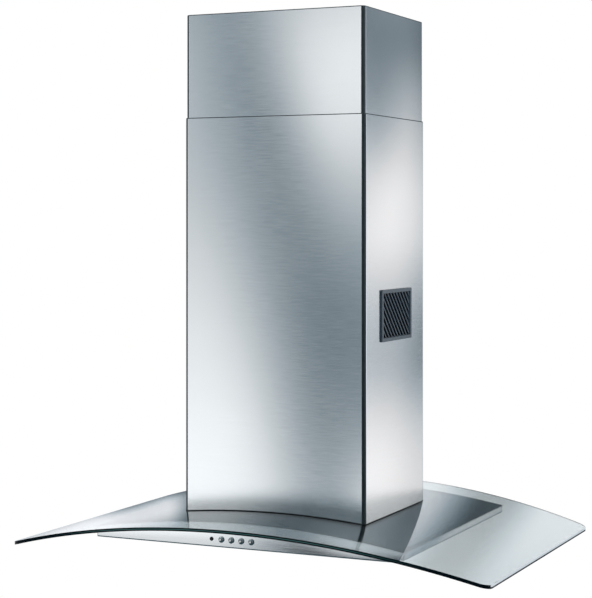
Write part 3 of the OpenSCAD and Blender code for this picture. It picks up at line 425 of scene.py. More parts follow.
@dataclass(frozen=True)
class BareMetal:
    """Plain metal: aluminium sheet, drawn cans, chromed parts."""

    name: str
    colour: tuple[float, float, float]
    roughness: float
    scratch: float = 0.05

    def build(self) -> bpy.types.Material:
        """Crossed hairline scratches and a cloudy gloss."""
        s = Shader(self.name)
        hair = s.noise(s.place((12, 12, 700), (0.4, 0.2, 0.0)), 1.0, 3, 0.6)
        cloud = s.noise(s.place(), 30.0, 3)
        rough = s.spread(cloud, self.roughness * 0.8, self.roughness * 1.25)
        return s.principled(s.tones(cloud, self.colour, 0.95, 1.04), rough,
                            s.bump(hair, self.scratch, 0.0001), Metallic=1.0)


@dataclass(frozen=True)
class ExpandedMesh:
    """Layered expanded aluminium: a diamond lattice whose openings are painted dark, as the shade
    seen through them.
    """

    name: str = "expanded_mesh"
    colour: tuple[float, float, float] = (0.62, 0.63, 0.64)
    # painted shade of the lattice's openings, where light does not reach through the layers
    opening: tuple[float, float, float] = (0.05, 0.052, 0.055)
    pitch: float = 0.0045

    def build(self) -> bpy.types.Material:
        """Two crossed sine waves make the strands; between them is painted shade, dark and rough.
        """
        s = Shader(self.name)
        turn = s.place((1, 1, 1), (0, 0, math.radians(45)))
        parts = s.add("SeparateXYZ", Vector=turn)
        waves = [s.math("ABSOLUTE", s.math("SINE", s.math("MULTIPLY", axis, math.pi / self.pitch)))
                 for axis in parts.outputs[:2]]
        strand = s.between(s.math("MINIMUM", *waves), 1.0, 0.0, 0.15, 0.55)
        # the openings take the painted shade, the strands the metal's colour
        colour = s.blend(strand, self.opening, self.colour)
        return s.principled(colour, s.between(strand, 0.7, 0.38), s.bump(strand, 0.6, 0.0008),
                            Metallic=1.0)


class FinishShelf:
    """One built material for each of the record's slots, plus those that only new pieces use."""

    def __init__(self) -> None:
        """Builds every finish once."""
        self.sheet = BrushedSteel().build()
        self.glass_edge = GlassEdge().build()
        # painted dark reflection and shade for the chimney's rims and folds
        self.painted_dark_edge = PaintedDarkEdge().build()
        self.mesh = ExpandedMesh().build()
        self.button_chrome = BareMetal("button_chrome", (0.58, 0.61, 0.62), 0.08, 0.01).build()
        louvre = Moulded("louvre_plastic", (0.052, 0.079, 0.104), 0.38, shine=0.35).build()
        self.by_node: dict[str, bpy.types.Material] = {
            "grille_left": louvre,
            "grille_right": louvre,
            "indicator_lens": Moulded("indicator_plastic", (0.003, 0.005, 0.007), 0.22, 600.0, 0.02,
                                      0.2).build(),
        }
        finishes = {
            "stainless": BrushedSteel("brushed_steel_flat", stretch=0.0, roughness=0.17),
            "galvanised": GalvanisedSteel(),
            "canopy_glass": CanopyGlass(),
            "seal_rubber": Moulded("seal_rubber", (0.012, 0.017, 0.019), 0.6, 900.0, shine=0.2),
            "clear_silicone": Translucent("clear_silicone", (0.86, 0.91, 0.91), 160.0, (0.10, 0.20),
                                          0.05, 1.0, 1.4),
            "filter_aluminium": BareMetal("filter_aluminium", (0.74, 0.75, 0.76), 0.32, 0.12),
            "chromed_metal": BareMetal("chromed_metal", (0.80, 0.82, 0.83), 0.07, 0.01),
            "black_plastic": Moulded("black_plastic", (0.020, 0.027, 0.032), 0.42, shine=0.35),
            "grey_plastic": Moulded("grey_plastic", (0.07, 0.075, 0.08), 0.5),
            "motor_paint": Moulded("motor_paint", (0.20, 0.21, 0.22), 0.35, 500.0, 0.1),
            "lamp_glass": Translucent("lamp_glass", (0.93, 0.93, 0.90), 900.0, (0.25, 0.4), 0.1,
                                      0.6, 1.48),
            "circuit_green": Moulded("circuit_green", (0.02, 0.13, 0.06), 0.3, 300.0, 0.04),
            "white_plastic": Moulded("white_plastic", (0.72, 0.72, 0.70), 0.4),
            "bare_aluminium": BareMetal("bare_aluminium", (0.76, 0.77, 0.78), 0.22, 0.08),
        }
        self.by_slot = {slot: finish.build() for slot, finish in finishes.items()}

    def of(self, slot: str) -> bpy.types.Material:
        """The material of one slot."""
        return self.by_slot[slot]


# ---------------------------------------------------------------- mesh helpers


def mesh_object(name: str, points: Array, faces: Array | list[Sequence[int]],
                material: bpy.types.Material | Sequence[bpy.types.Material],
                smooth: float = 35.0, weld: bool = False, outward: bool = False,
                which: Array | None = None) -> bpy.types.Object:
    """Makes an object from arrays.

    Args:
        name: piece name.
        points: vertices, n by 3.
        faces: rows of vertex numbers.
        material: its material, or several.
        smooth: edges sharper than this many degrees stay hard.
        weld: merges points that coincide, and drops faces that collapse with them.
        outward: after that, turns the faces outwards.
        which: each face's material number where there are several.

    Returns:
        The linked object, at the origin.
    """
    mesh = bpy.data.meshes.new(name)
    mesh.from_pydata(np.asarray(points, float).tolist(), [], [list(map(int, f)) for f in faces])
    if weld:
        work = bmesh.new()
        work.from_mesh(mesh)
        bmesh.ops.remove_doubles(work, verts=work.verts, dist=WELD)
        bmesh.ops.dissolve_degenerate(work, edges=work.edges, dist=WELD / 10)
        if outward:
            bmesh.ops.recalc_face_normals(work, faces=work.faces)
        work.to_mesh(mesh)
        work.free()
    mesh.polygons.foreach_set("use_smooth", np.ones(len(mesh.polygons), bool))
    mesh.set_sharp_from_angle(angle=math.radians(smooth))
    mesh.update()
    for one in material if isinstance(material, (list, tuple)) else [material]:
        mesh.materials.append(one)
    if which is not None:
        mesh.polygons.foreach_set("material_index", np.asarray(which, np.int32))
    obj = bpy.data.objects.new(name, mesh)
    bpy.context.scene.collection.objects.link(obj)
    return obj


def solid_grid(front: Array, back: Array, keep: Array | None = None,
               wrap: bool = False) -> tuple[Array, Array]:
    """Closes two matching grids into one shell.

    The front's cells face along du x dv, the back's cells face the other way, and every edge
    between a kept and a missing cell gets a face from front to back.

    Args:
        front: outer surface, u by v by 3.
        back: inner surface of the same shape.
        keep: cells to keep, or None for all.
        wrap: joins the last column to the first.

    Returns:
        Vertices and quads.
    """
    nu, nv = front.shape[:2]
    cu = nu if wrap else nu - 1
    keep = np.ones((cu, nv - 1), bool) if keep is None else keep
    count = nu * nv
    ids = np.arange(count).reshape(nu, nv)
    nxt = np.roll(ids, -1, 0)[:cu]
    cur = ids[:cu]
    a, b, c, d = cur[:, :-1], nxt[:, :-1], nxt[:, 1:], cur[:, 1:]
    quads = np.stack([a, b, c, d], -1)
    shells = [quads[keep], quads[keep][:, ::-1] + count]
    pad = np.zeros((cu + 2, nv + 1), bool)
    pad[1:-1, 1:-1] = keep
    if wrap:
        pad[0, 1:-1], pad[-1, 1:-1] = keep[-1], keep[0]
    around = {(0, 1): pad[1:-1, :-2], (1, 2): pad[2:, 1:-1],
              (2, 3): pad[1:-1, 2:], (3, 0): pad[:-2, 1:-1]}
    for (p, q), other in around.items():
        open_edge = keep & ~other
        start, end = quads[..., p][open_edge], quads[..., q][open_edge]
        shells.append(np.stack([end, start, start + count, end + count], -1))
    faces = np.concatenate(shells)
    points = np.concatenate([front.reshape(-1, 3), back.reshape(-1, 3)])
    used, inverse = np.unique(faces, return_inverse=True)
    return points[used], inverse.reshape(faces.shape)


def holed_plate(x: Array, y: Array, high: Array, low: Array,
                hole: tuple[float, float, float, float]) -> tuple[Array, Array]:
    """Plate with an opening, whose two faces change their height along X alone.

    Args:
        x: stations along X.
        y: stations along Y.
        high: height of the upper face at each x.
        low: height of the lower face at each x.
        hole: from and to along X, then from and to along Y.

    Returns:
        Vertices and quads.
    """
    gx, gy = np.meshgrid(x, y, indexing="ij")
    upper, lower = (np.stack([gx, gy, np.tile(z[:, None], (1, len(y)))], -1) for z in (high, low))
    mx, my = (x[:-1] + x[1:]) / 2, (y[:-1] + y[1:]) / 2
    cut = ((hole[0] < mx) & (mx < hole[1]))[:, None] & ((hole[2] < my) & (my < hole[3]))[None, :]
    return solid_grid(upper, lower, ~cut)


def folded_outline(width: float, depth: float, radius: float, xs: Sequence[float] = (),
                   ys: Sequence[float] = (), steps: int = 6) -> Array:
    """Outline of a folded tube from above, counter-clockwise from the right side's front end.

    A quarter circle of the fold radius joins each pair of straight sides.

    Args:
        width: size along X.
        depth: size along Y.
        radius: radius of the folds.
        xs: extra stations on the front and rear sides.
        ys: extra stations on the left and right sides.
        steps: faces round each fold.

    Returns:
        The outline's points, n by 2.
    """
    w, d = width / 2, depth / 2
    arc = np.linspace(0, math.pi / 2, steps + 1)
    quarter = radius * np.stack([np.cos(arc), np.sin(arc)], -1)
    corner = np.array([w - radius, d - radius])
    ys, xs = np.sort(np.asarray(ys, float)), np.sort(np.asarray(xs, float))
    turned = [quarter, quarter[:, ::-1] * (-1, 1), quarter * (-1, -1), quarter[:, ::-1] * (1, -1)]
    signs = [(1, 1), (-1, 1), (-1, -1), (1, -1)]
    corners = [t + corner * s for t, s in zip(turned, signs)]
    right = np.stack([np.full(len(ys), w), ys], -1)
    rear = np.stack([xs[::-1], np.full(len(xs), d)], -1)
    left = np.stack([np.full(len(ys), -w), ys[::-1]], -1)
    front = np.stack([xs, np.full(len(xs), -d)], -1)
    sides = (right, rear, left, front)
    return np.concatenate([part for pair in zip(sides, corners) for part in pair])


def turned_shape(profile: Array, steps: int) -> tuple[Array, list[list[int]]]:
    """Turns a closed profile of (radius, height) around the local Z axis.

    Points on the axis make the poles, which close with triangles once they are welded.

    Args:
        profile: radius and height of each point, n by 2.
        steps: how many times the profile is repeated round the axis.

    Returns:
        Vertices and quads.
    """
    angle = np.linspace(0, 2 * math.pi, steps, endpoint=False)
    r, h = profile[:, 0], profile[:, 1]
    ring = np.stack([np.outer(np.cos(angle), r), np.outer(np.sin(angle), r),
                     np.tile(h, (steps, 1))], -1)
    ids = np.arange(steps * len(r)).reshape(steps, len(r))
    nxt = np.roll(ids, -1, 0)
    quads = np.stack([ids[:, :-1], nxt[:, :-1], nxt[:, 1:], ids[:, 1:]], -1).reshape(-1, 4)
    return ring.reshape(-1, 3), quads.tolist()


# ---------------------------------------------------------------- sheet and glass


@dataclass
class ChimneyTube:
    """One of the two folded steel tubes of the chimney.

    A tube whose low is None stands on the glass; window is the grille's cut-out: width, height
    and level of its middle. The near fields are the gaps that rows and columns keep from a
    fold, a window and the rim, rim_ease the rim's pull inwards and its height, and a fold is
    painted dark, as a painted dark reflection, past the share painted_fold_from of its radius.
    """

    name: str
    node: str
    body: Body
    size: tuple[float, float]
    top: float
    low: float | None
    window: tuple[float, float, float] | None = None
    columns: int = 28
    side_columns: int = 12
    window_columns: int = 5
    rows: int = 6
    fold_steps: int = 10
    ease_steps: int = 4
    near_fold: float = 0.0004
    near_window: float = 0.004
    near_rim: float = 0.0005
    rim_ease: tuple[float, float] = (0.0009, 0.0016)
    painted_fold_from: float = 0.2

    def grid(self, inset: float) -> tuple[Array, Array]:
        """Tube surface as a grid: outline around, height along.

        Height rows run from the foot, which follows the glass's arch when the tube has no level
        foot, to the top rim, where the outer surface is eased. The window's edges are stations of
        both directions.

        Args:
            inset: how far the surface lies inside the outer one.

        Returns:
            The grid and the outline.
        """
        size = np.array(self.size)
        reach = size / 2 - SIZES.fold - self.near_fold
        xs = np.linspace(-1, 1, self.columns) * reach[0]
        ys = np.linspace(-1, 1, self.side_columns) * reach[1]
        if self.window:
            half = self.window[0] / 2
            ys = np.concatenate([ys[np.abs(ys) > half + self.near_window],
                                 np.linspace(-half, half, self.window_columns)])
        outline = folded_outline(*self.size, SIZES.fold, xs, ys, self.fold_steps)
        moved = outline * ((size - 2 * inset) / size)
        foot = np.full(len(outline), self.low) if self.low is not None else (
            SIZES.arch(moved[:, 0], -SIZES.foot_seal))
        stations = [foot.max() + self.near_window]
        if self.window:
            mid, half = self.window[2], self.window[1] / 2
            stations += [mid - half, mid + half]
        ease, high = self.rim_ease
        stations += [self.top - high - self.near_rim]
        parts = [np.linspace(a, b, self.rows, endpoint=False)
                 for a, b in zip(stations[:-1], stations[1:])]
        rows = np.concatenate(parts + [[stations[-1]]])
        turn = np.linspace(0, math.pi / 2, self.ease_steps + 1)
        rim = self.top - high * (1 - np.sin(turn))
        z = np.concatenate([foot[:, None], np.tile(np.concatenate([rows, rim]), (len(foot), 1))], 1)
        pull = np.zeros(z.shape[1])
        if inset == 0:
            pull[-len(rim):] = ease * (1 - np.cos(turn))
        flat = moved[:, None, :] * (1 - 2 * pull[None, :, None] / size)
        return np.concatenate([flat, z[..., None]], -1), outline

    def build(self, shelf: FinishShelf) -> bpy.types.Object:
        """Closes the outer and inner tube into a sheet and cuts the grille windows.

        Args:
            shelf: the finishes. The rim and the folds take the painted dark edge's, a painted dark
                reflection and shade.

        Returns:
            The tube.
        """
        outer, outline = self.grid(0.0)
        inner, _ = self.grid(SIZES.sheet)
        if self.low is None:
            inner[:, 0, 2] = outer[:, 0, 2]
        keep = np.ones((len(outline), outer.shape[1] - 1), bool)
        if self.window:
            wide, high, level = self.window
            across, along = np.abs((outline + np.roll(outline, -1, 0)) / 2).T
            on_side = (across > self.size[0] / 2 - CLOSE) & (along < wide / 2)
            middle = (outer[0, :-1, 2] + outer[0, 1:, 2]) / 2
            keep &= ~(on_side[:, None] & (np.abs(middle - level) < high / 2)[None, :])
        points, faces = solid_grid(outer, inner, keep, wrap=True)
        # the rim's and the folds' faces get the painted dark reflection and shade
        at_rim = points[faces][..., 2].min(1) > self.top - self.rim_ease[1] - CLOSE
        straight = np.array(self.size) / 2 - SIZES.fold
        past = np.abs(points[faces][..., :2].mean(1)) - straight
        on_fold = (past > self.painted_fold_from * SIZES.fold).all(1)
        piece = mesh_object(self.name, points, faces, (shelf.sheet, shelf.painted_dark_edge),
                            which=at_rim | on_fold)
        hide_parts(self.node)
        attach(piece, self.body.value)
        return piece


@dataclass
class GlassCanopy:
    """Arched glass with bowed front and rear edges and rounded corners.

    columns counts the stations over the air opening's half, beyond it and round a corner, rows
    those behind the opening and across it.
    """

    width: float = 0.898
    side_depth: float = 0.589
    bow: float = 0.041
    corner: float = 0.022
    columns: tuple[int, int, int] = (15, 34, 12)
    rows: tuple[int, int] = (14, 15)
    ease: float = 0.0009
    ease_steps: int = 3
    eased_above: float = 50.0
    smooth: float = 30.0

    def half_depth(self, x: Array) -> Array:
        """Half depth at x: the bow's arc, and near the sides the corner's circle.

        The arc's radius is half the width squared plus the bow squared, divided by twice the
        bow. The corner's circle touches the arc from inside and the straight side.

        Args:
            x: columns across the width.

        Returns:
            Each column's half depth.
        """
        half_w = self.width / 2
        deepest = self.side_depth / 2 + self.bow
        radius = (half_w**2 + self.bow**2) / (2 * self.bow)
        centre = deepest - radius
        cx = half_w - self.corner
        cy = centre + math.sqrt((radius - self.corner) ** 2 - cx**2)
        tangent = cx + self.corner * cx / (radius - self.corner)
        arc = centre + np.sqrt(radius**2 - x**2)
        past = np.clip(np.abs(x) - cx, 0, None)
        round_ = cy + np.sqrt(np.clip(self.corner**2 - past**2, 0, None))
        return np.where(np.abs(x) <= tangent, arc, round_)

    def stations(self) -> Array:
        """Columns across the width: even in the middle, close together round the corners.

        Returns:
            Their places along X, with the air opening's edges among them.
        """
        cx, air = self.width / 2 - self.corner, SIZES.air[0] / 2
        inner, outer, bend = self.columns
        ends = cx + self.corner * np.sin(np.linspace(0, math.pi / 2, bend))
        plain = np.concatenate([np.linspace(0, air, inner), np.linspace(air, cx, outer)[1:-1]])
        right = np.concatenate([plain, ends])
        return np.unique(np.round(np.concatenate([-right, right]), 7))

    def build(self, shelf: FinishShelf) -> bpy.types.Object:
        """Top and bottom face on one grid, the air opening left out, edges eased.

        Args:
            shelf: the finishes; every face but top and bottom takes the edge's.

        Returns:
            The glass.
        """
        x = self.stations()
        half = self.half_depth(x)
        air = SIZES.air[1] / 2
        rear = air + (half[:, None] - air) * np.linspace(0, 1, self.rows[0])[None, :]
        mid = np.tile(np.linspace(-air, air, self.rows[1])[1:-1], (len(x), 1))
        y = np.concatenate([-rear[:, ::-1], mid, rear], 1)
        top = np.stack([np.tile(x[:, None], (1, y.shape[1])), y,
                        np.tile(SIZES.arch(x)[:, None], (1, y.shape[1]))], -1)
        low = top.copy()
        low[..., 2] = SIZES.arch(x, SIZES.glass_t)[:, None]
        mx, my = (x[:-1] + x[1:]) / 2, (y[:-1, :-1] + y[1:, 1:]) / 2
        keep = ~((np.abs(mx)[:, None] < SIZES.air[0] / 2) & (np.abs(my) < air))
        points, faces = solid_grid(top, low, keep)
        piece = mesh_object("glass_arch", points, faces,
                            (shelf.of("canopy_glass"), shelf.glass_edge), self.smooth,
                            which=np.arange(len(faces)) >= 2 * keep.sum())
        ease = piece.modifiers.new("eased_edges", "BEVEL")
        ease.width, ease.segments, ease.limit_method = self.ease, self.ease_steps, "ANGLE"
        ease.angle_limit = math.radians(self.eased_above)
        ease.harden_normals, ease.material = True, 1
        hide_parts("glass_canopy")
        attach(piece, Body.HOOD.value)
        return piece


@dataclass
class SteelBody:
    """Shallow steel body under the glass: folded walls and a curved roof.

    columns counts the stations along the front and the side, roof_columns those beside the air
    opening and across it. The walls end under_roof sheets below the roof's top face.
    """

    fold: float = 0.003
    fold_steps: int = 4
    inside: float = 0.0004
    columns: tuple[int, int] = (60, 14)
    roof_columns: tuple[int, int] = (30, 26)
    margin: float = 0.05
    under_roof: float = 1.02

    def walls(self, shelf: FinishShelf) -> bpy.types.Object:
        """Carries the wall's profile round the body's outline.

        The profile runs from the inner end of the folded rim, outwards, round the bend and up
        to the roof's arch; the inner surface is the same profile moved in by the sheet.

        Args:
            shelf: the finishes.

        Returns:
            The walls.
        """
        w, d = SIZES.body
        xs = np.linspace(-1, 1, self.columns[0]) * (w / 2 - self.fold - self.inside)
        ys = np.linspace(-1, 1, self.columns[1]) * (d / 2 - self.fold - self.inside)
        outline = folded_outline(w, d, self.fold, xs, ys, self.fold_steps)
        bend = np.linspace(0, math.pi / 2, self.fold_steps + 1)
        t = SIZES.body_sheet

        def surface(inset: float) -> Array:
            """One face of the sheet, inset from the outer one."""
            r = self.fold - inset
            zero = SIZES.rim + SIZES.crown
            turn_in = inset + r - r * np.sin(bend)
            turn_z = zero + inset + r - r * np.cos(bend)
            inward = np.concatenate([[SIZES.rim_fold], turn_in])
            level = np.concatenate([[zero + inset], turn_z])
            limit = np.array([w / 2, d / 2]) - inward[:, None]
            flat = np.clip(outline[:, None, :], -limit, limit)
            tops = SIZES.arch(np.clip(outline[:, 0], -w / 2 + inset, w / 2 - inset),
                              SIZES.glass_t + SIZES.seal_t + t * self.under_roof)
            z = np.concatenate([np.tile(level, (len(outline), 1)), tops[:, None]], 1)
            flat = np.concatenate([flat, flat[:, -1:]], 1)
            return np.concatenate([flat, z[..., None]], -1)

        piece = mesh_object("body_walls", *solid_grid(surface(0.0), surface(t), wrap=True),
                            shelf.sheet, weld=True)
        self.attach(piece)
        return piece

    def roof(self, shelf: FinishShelf) -> bpy.types.Object:
        """Curved top plate on the body's outline, with the air opening left out.

        Args:
            shelf: the finishes.

        Returns:
            The roof.
        """
        w, d = SIZES.body
        air_x, air_y = SIZES.air[0] / 2, SIZES.air[1] / 2
        outer, inner = self.roof_columns
        side = np.linspace(air_x, w / 2 - self.inside, outer)
        x = np.concatenate([-side[::-1], np.linspace(-air_x, air_x, inner)[1:-1], side])
        rear = np.array([air_y, d / 2 - self.margin, d / 2 - self.inside])
        y = np.concatenate([-rear[::-1], [0], rear])
        below = SIZES.glass_t + SIZES.seal_t
        plate = holed_plate(x, y, SIZES.arch(x, below), SIZES.arch(x, below + SIZES.body_sheet),
                            (-air_x, air_x, -air_y, air_y))
        piece = mesh_object("body_roof", *plate, shelf.of("stainless"))
        self.attach(piece)
        return piece

    def attach(self, piece: bpy.types.Object) -> None:
        """Lets a piece stand for the steel body."""
        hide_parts("hood_body")
        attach(piece, Body.HOOD.value)


@dataclass
class PushButtons:
    """Four chromed push buttons with domed, polished faces.

    first is the leftmost one's X, drop its depth under the crown, collar the collar's extra
    radius and its start and end behind the panel's face.
    """

    first: float = -0.043
    pitch: float = 0.019
    radius: float = 0.00525
    proud: float = 0.004
    dome: float = 0.0026
    drop: float = 0.0315
    collar: tuple[float, float, float] = (0.0015, 0.0033, 0.0053)
    length: float = 0.019
    chamfer: float = 0.001
    count: int = 4
    rings: int = 14
    steps: int = 40
    smooth: float = 40.0

    def build(self, shelf: FinishShelf) -> list[bpy.types.Object]:
        """Turns one profile around each button's axis, face first.

        The face is a cap of a sphere: its radius is button radius squared plus dome squared,
        divided by twice the dome. Behind it come the stem, the collar that keeps the button in
        the panel, and a chamfered end.

        Args:
            shelf: the finishes.

        Returns:
            The four buttons.
        """
        r, p = self.radius, self.proud
        ball = (r**2 + self.dome**2) / (2 * self.dome)
        swing = np.linspace(0, math.asin(r / ball), self.rings)
        face = np.stack([ball * np.sin(swing), ball * (1 - np.cos(swing))], -1)
        wider, start, stop = self.collar
        end = self.length + self.chamfer
        stem = np.array([[r, p + start], [r + wider, p + start], [r + wider, p + stop],
                         [r, p + stop], [r, self.length], [r - self.chamfer, end], [0, end]])
        points, faces = turned_shape(np.concatenate([face, stem]), self.steps)
        x, y, z = points.T
        made = []
        for i in range(self.count):
            place = np.stack([x + self.first + i * self.pitch, z - SIZES.body[1] / 2 - p,
                              -y + SIZES.crown - self.drop], -1)
            piece = mesh_object(f"button_cap_{i + 1}", place, faces, shelf.button_chrome,
                                self.smooth, weld=True, outward=True)
            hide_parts(f"button_{i + 1}")
            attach(piece, f"button_{i + 1}_body")
            made.append(piece)
        return made


@dataclass
class PleatedPads:
    """Pleated mesh pads of the two grease filters, each with a notch round its handle."""

    pleats: int = 36
    per_pleat: int = 8
    rows: int = 24
    smooth: float = 60.0
    sheet: float = 0.0014
    margin: float = 0.0001
    head_room: float = 0.0018
    middle: float = 0.13
    notch_half: float = 0.0212
    notch_y: float = -0.1405

    def build(self, shelf: FinishShelf) -> list[bpy.types.Object]:
        """Carries a rounded zigzag along the filter's width.

        Height is the pad's lower level plus its rise times half of one minus the cosine of the
        pleat's phase; the second face is one sheet thickness higher.

        Args:
            shelf: the finishes.

        Returns:
            The two pads.
        """
        made = []
        for side, body in (("left", Body.LEFT_FILTER), ("right", Body.RIGHT_FILTER)):
            low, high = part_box(f"filter_mesh_{side}")
            x = np.linspace(low.x, high.x, self.pleats * self.per_pleat + 1)
            y = np.linspace(low.y, high.y, self.rows)
            phase = (x - low.x) / (high.x - low.x) * self.pleats * math.pi
            z = low.z + self.margin + (high.z - low.z - self.head_room) * (1 - np.cos(phase)) / 2
            mid_x = self.middle if side == "right" else -self.middle
            notch = (mid_x - self.notch_half, mid_x + self.notch_half, -math.inf, self.notch_y)
            piece = mesh_object(f"pleated_pad_{side}", *holed_plate(x, y, z + self.sheet, z, notch),
                                shelf.mesh, self.smooth)
            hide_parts(f"filter_mesh_{side}")
            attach(piece, body.value)
            made.append(piece)
        return made


@dataclass
class CadNodes:
    """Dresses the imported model's own nodes."""

    hard_above: float = 32.0

    def dress(self, shelf: FinishShelf) -> int:
        """Gives each node its own or its slot's finish and lets curved faces shade smoothly.

        Args:
            shelf: the finishes.

        Returns:
            How many nodes were dressed.
        """
        slots = {row["node"]: row["material_slot"] for row in frame["record"]["subparts"]}
        for name, obj in frame["nodes"].items():
            material = shelf.by_node.get(name) or shelf.of(slots[name])
            if obj.material_slots:
                for slot in obj.material_slots:
                    slot.material = material
            else:
                obj.data.materials.append(material)
            obj.data.polygons.foreach_set("use_smooth", np.ones(len(obj.data.polygons), bool))
            merge = obj.modifiers.new("merge", "WELD")
            merge.merge_threshold = WELD
            split = obj.modifiers.new("hard_edges", "EDGE_SPLIT")
            split.split_angle = math.radians(self.hard_above)
        return len(frame["nodes"])


# ---------------------------------------------------------------- studio


@dataclass
class PhotoCamera:
    """Camera at the photograph's place."""

    place: tuple[float, float, float] = (1.3049, -2.8801, -0.3712)
    heading: float = 0.4316
    lens: float = 103.38
    sensor: float = 36.0
    shift: float = -0.1314
    clip: tuple[float, float] = (0.05, 60.0)

    def build(self) -> bpy.types.Object:
        """Level camera turned about the vertical, the view lowered by shift alone.

        Returns:
            The camera.
        """
        data = bpy.data.cameras.new("photo_camera")
        data.sensor_width, data.sensor_fit = self.sensor, "AUTO"
        data.lens, data.shift_y = self.lens, self.shift
        data.clip_start, data.clip_end = self.clip
        cam = bpy.data.objects.new("photo_camera", data)
        cam.location = self.place
        cam.rotation_euler = (math.pi / 2, 0, self.heading)
        bpy.context.scene.collection.objects.link(cam)
        bpy.context.scene.camera = cam
        return cam


@dataclass(frozen=True)
class Panel:
    """Soft-edged strip on a card, lighter than the base, or darker where strength is negative.

    at is its middle, half its half width with a soft edge on either side, reach how far it
    lasts along its length, tilt its turn in degrees.
    """

    at: tuple[float, float]
    half: float
    soft: float
    reach: float
    strength: float
    tilt: float = 0.0


@dataclass(frozen=True)
class ReflectorCard:
    """Large card that sheet and glass mirror; no camera sees it and it lights nothing plain.

    at is its place on the axis that it is square to, run and rise its extent along the other
    two, dim and lit its colour where it is dark and bright, again the share of its light left
    at a second mirror.
    """

    name: str
    wall: Wall
    at: float
    run: tuple[float, float]
    rise: tuple[float, float]
    base: float
    panels: tuple[Panel, ...] = ()
    dim: tuple[float, float, float] = (0.80, 1.0, 1.13)
    lit: tuple[float, float, float] = (1.02, 1.0, 0.985)
    again: float = 0.65
    darkest: float = 0.02

    def strip(self, s: Shader, u: Any, v: Any, panel: Panel) -> Any:
        """Brightness of one panel.

        The point's distances from the panel's middle are turned by its tilt into one across and
        one along; an S-curve fades it across, e to the minus half the squared ratio of along to
        reach fades it along.

        Args:
            s: the card's shader.
            u: level coordinate.
            v: height.
            panel: the strip of light.

        Returns:
            Its brightness socket.
        """
        du, dv = s.math("SUBTRACT", u, panel.at[0]), s.math("SUBTRACT", v, panel.at[1])
        c, n = math.cos(math.radians(panel.tilt)), math.sin(math.radians(panel.tilt))
        across = s.math("ABSOLUTE", s.math("MULTIPLY_ADD", du, c, s.math("MULTIPLY", dv, n)))
        along = s.math("MULTIPLY_ADD", dv, c / panel.reach,
                       s.math("MULTIPLY", du, -n / panel.reach))
        fade = s.math("EXPONENT", s.math("MULTIPLY", s.math("MULTIPLY", along, along), -0.5))
        step = s.soft_step(across, max(panel.half - panel.soft, 0.0), panel.half + panel.soft)
        return s.math("MULTIPLY", step, s.math("MULTIPLY", fade, panel.strength))

    def material(self) -> bpy.types.Material:
        """Emission of the base and every panel together, once a ray has met a mirror.

        Its colour goes from the dim to the lit one as it gets brighter. A ray that has met two
        mirrors finds less light, and one that has met none, such as one that only passed the
        glass, goes on.

        Returns:
            The material.
        """
        s = Shader(self.name)
        parts = s.add("SeparateXYZ", Vector=s.place())
        u, v = (parts.outputs[axis] for axis in self.axes())
        total: Any = self.base
        for panel in self.panels:
            total = s.math("ADD", self.strip(s, u, v, panel), total)
        total = s.math("MAXIMUM", total, self.darkest)
        colour = s.blend(s.between(total, 0, 1, 0.15, 0.95), self.dim, self.lit)
        mirrors = s.add("LightPath").outputs["Glossy Depth"]
        total = s.math("MULTIPLY", total, s.between(mirrors, 1.0, self.again, 1.0, 2.0))
        light = s.add("Emission", Color=colour, Strength=total)
        mirrored = s.math("GREATER_THAN", mirrors, 0.5)
        open_air = s.add("BsdfTransparent")
        shade = s.add("MixShader", i0=mirrored, i1=open_air.outputs[0], i2=light.outputs[0])
        return s.finish(shade.outputs[0])

    def axes(self) -> tuple[int, int]:
        """The two axes that the card lies along."""
        return {Wall.ALONG: (1, 2), Wall.ACROSS: (0, 2), Wall.LEVEL: (0, 1)}[self.wall]

    def build(self) -> bpy.types.Object:
        """One rectangle, square to its axis."""
        (u0, u1), (v0, v1) = self.run, self.rise
        corners = np.full((4, 3), self.at)
        corners[:, self.axes()] = [[u0, v0], [u1, v0], [u1, v1], [u0, v1]]
        card = mesh_object(self.name, corners, [[0, 1, 2, 3]], self.material())
        card.visible_camera = card.visible_shadow = card.visible_diffuse = False
        return card


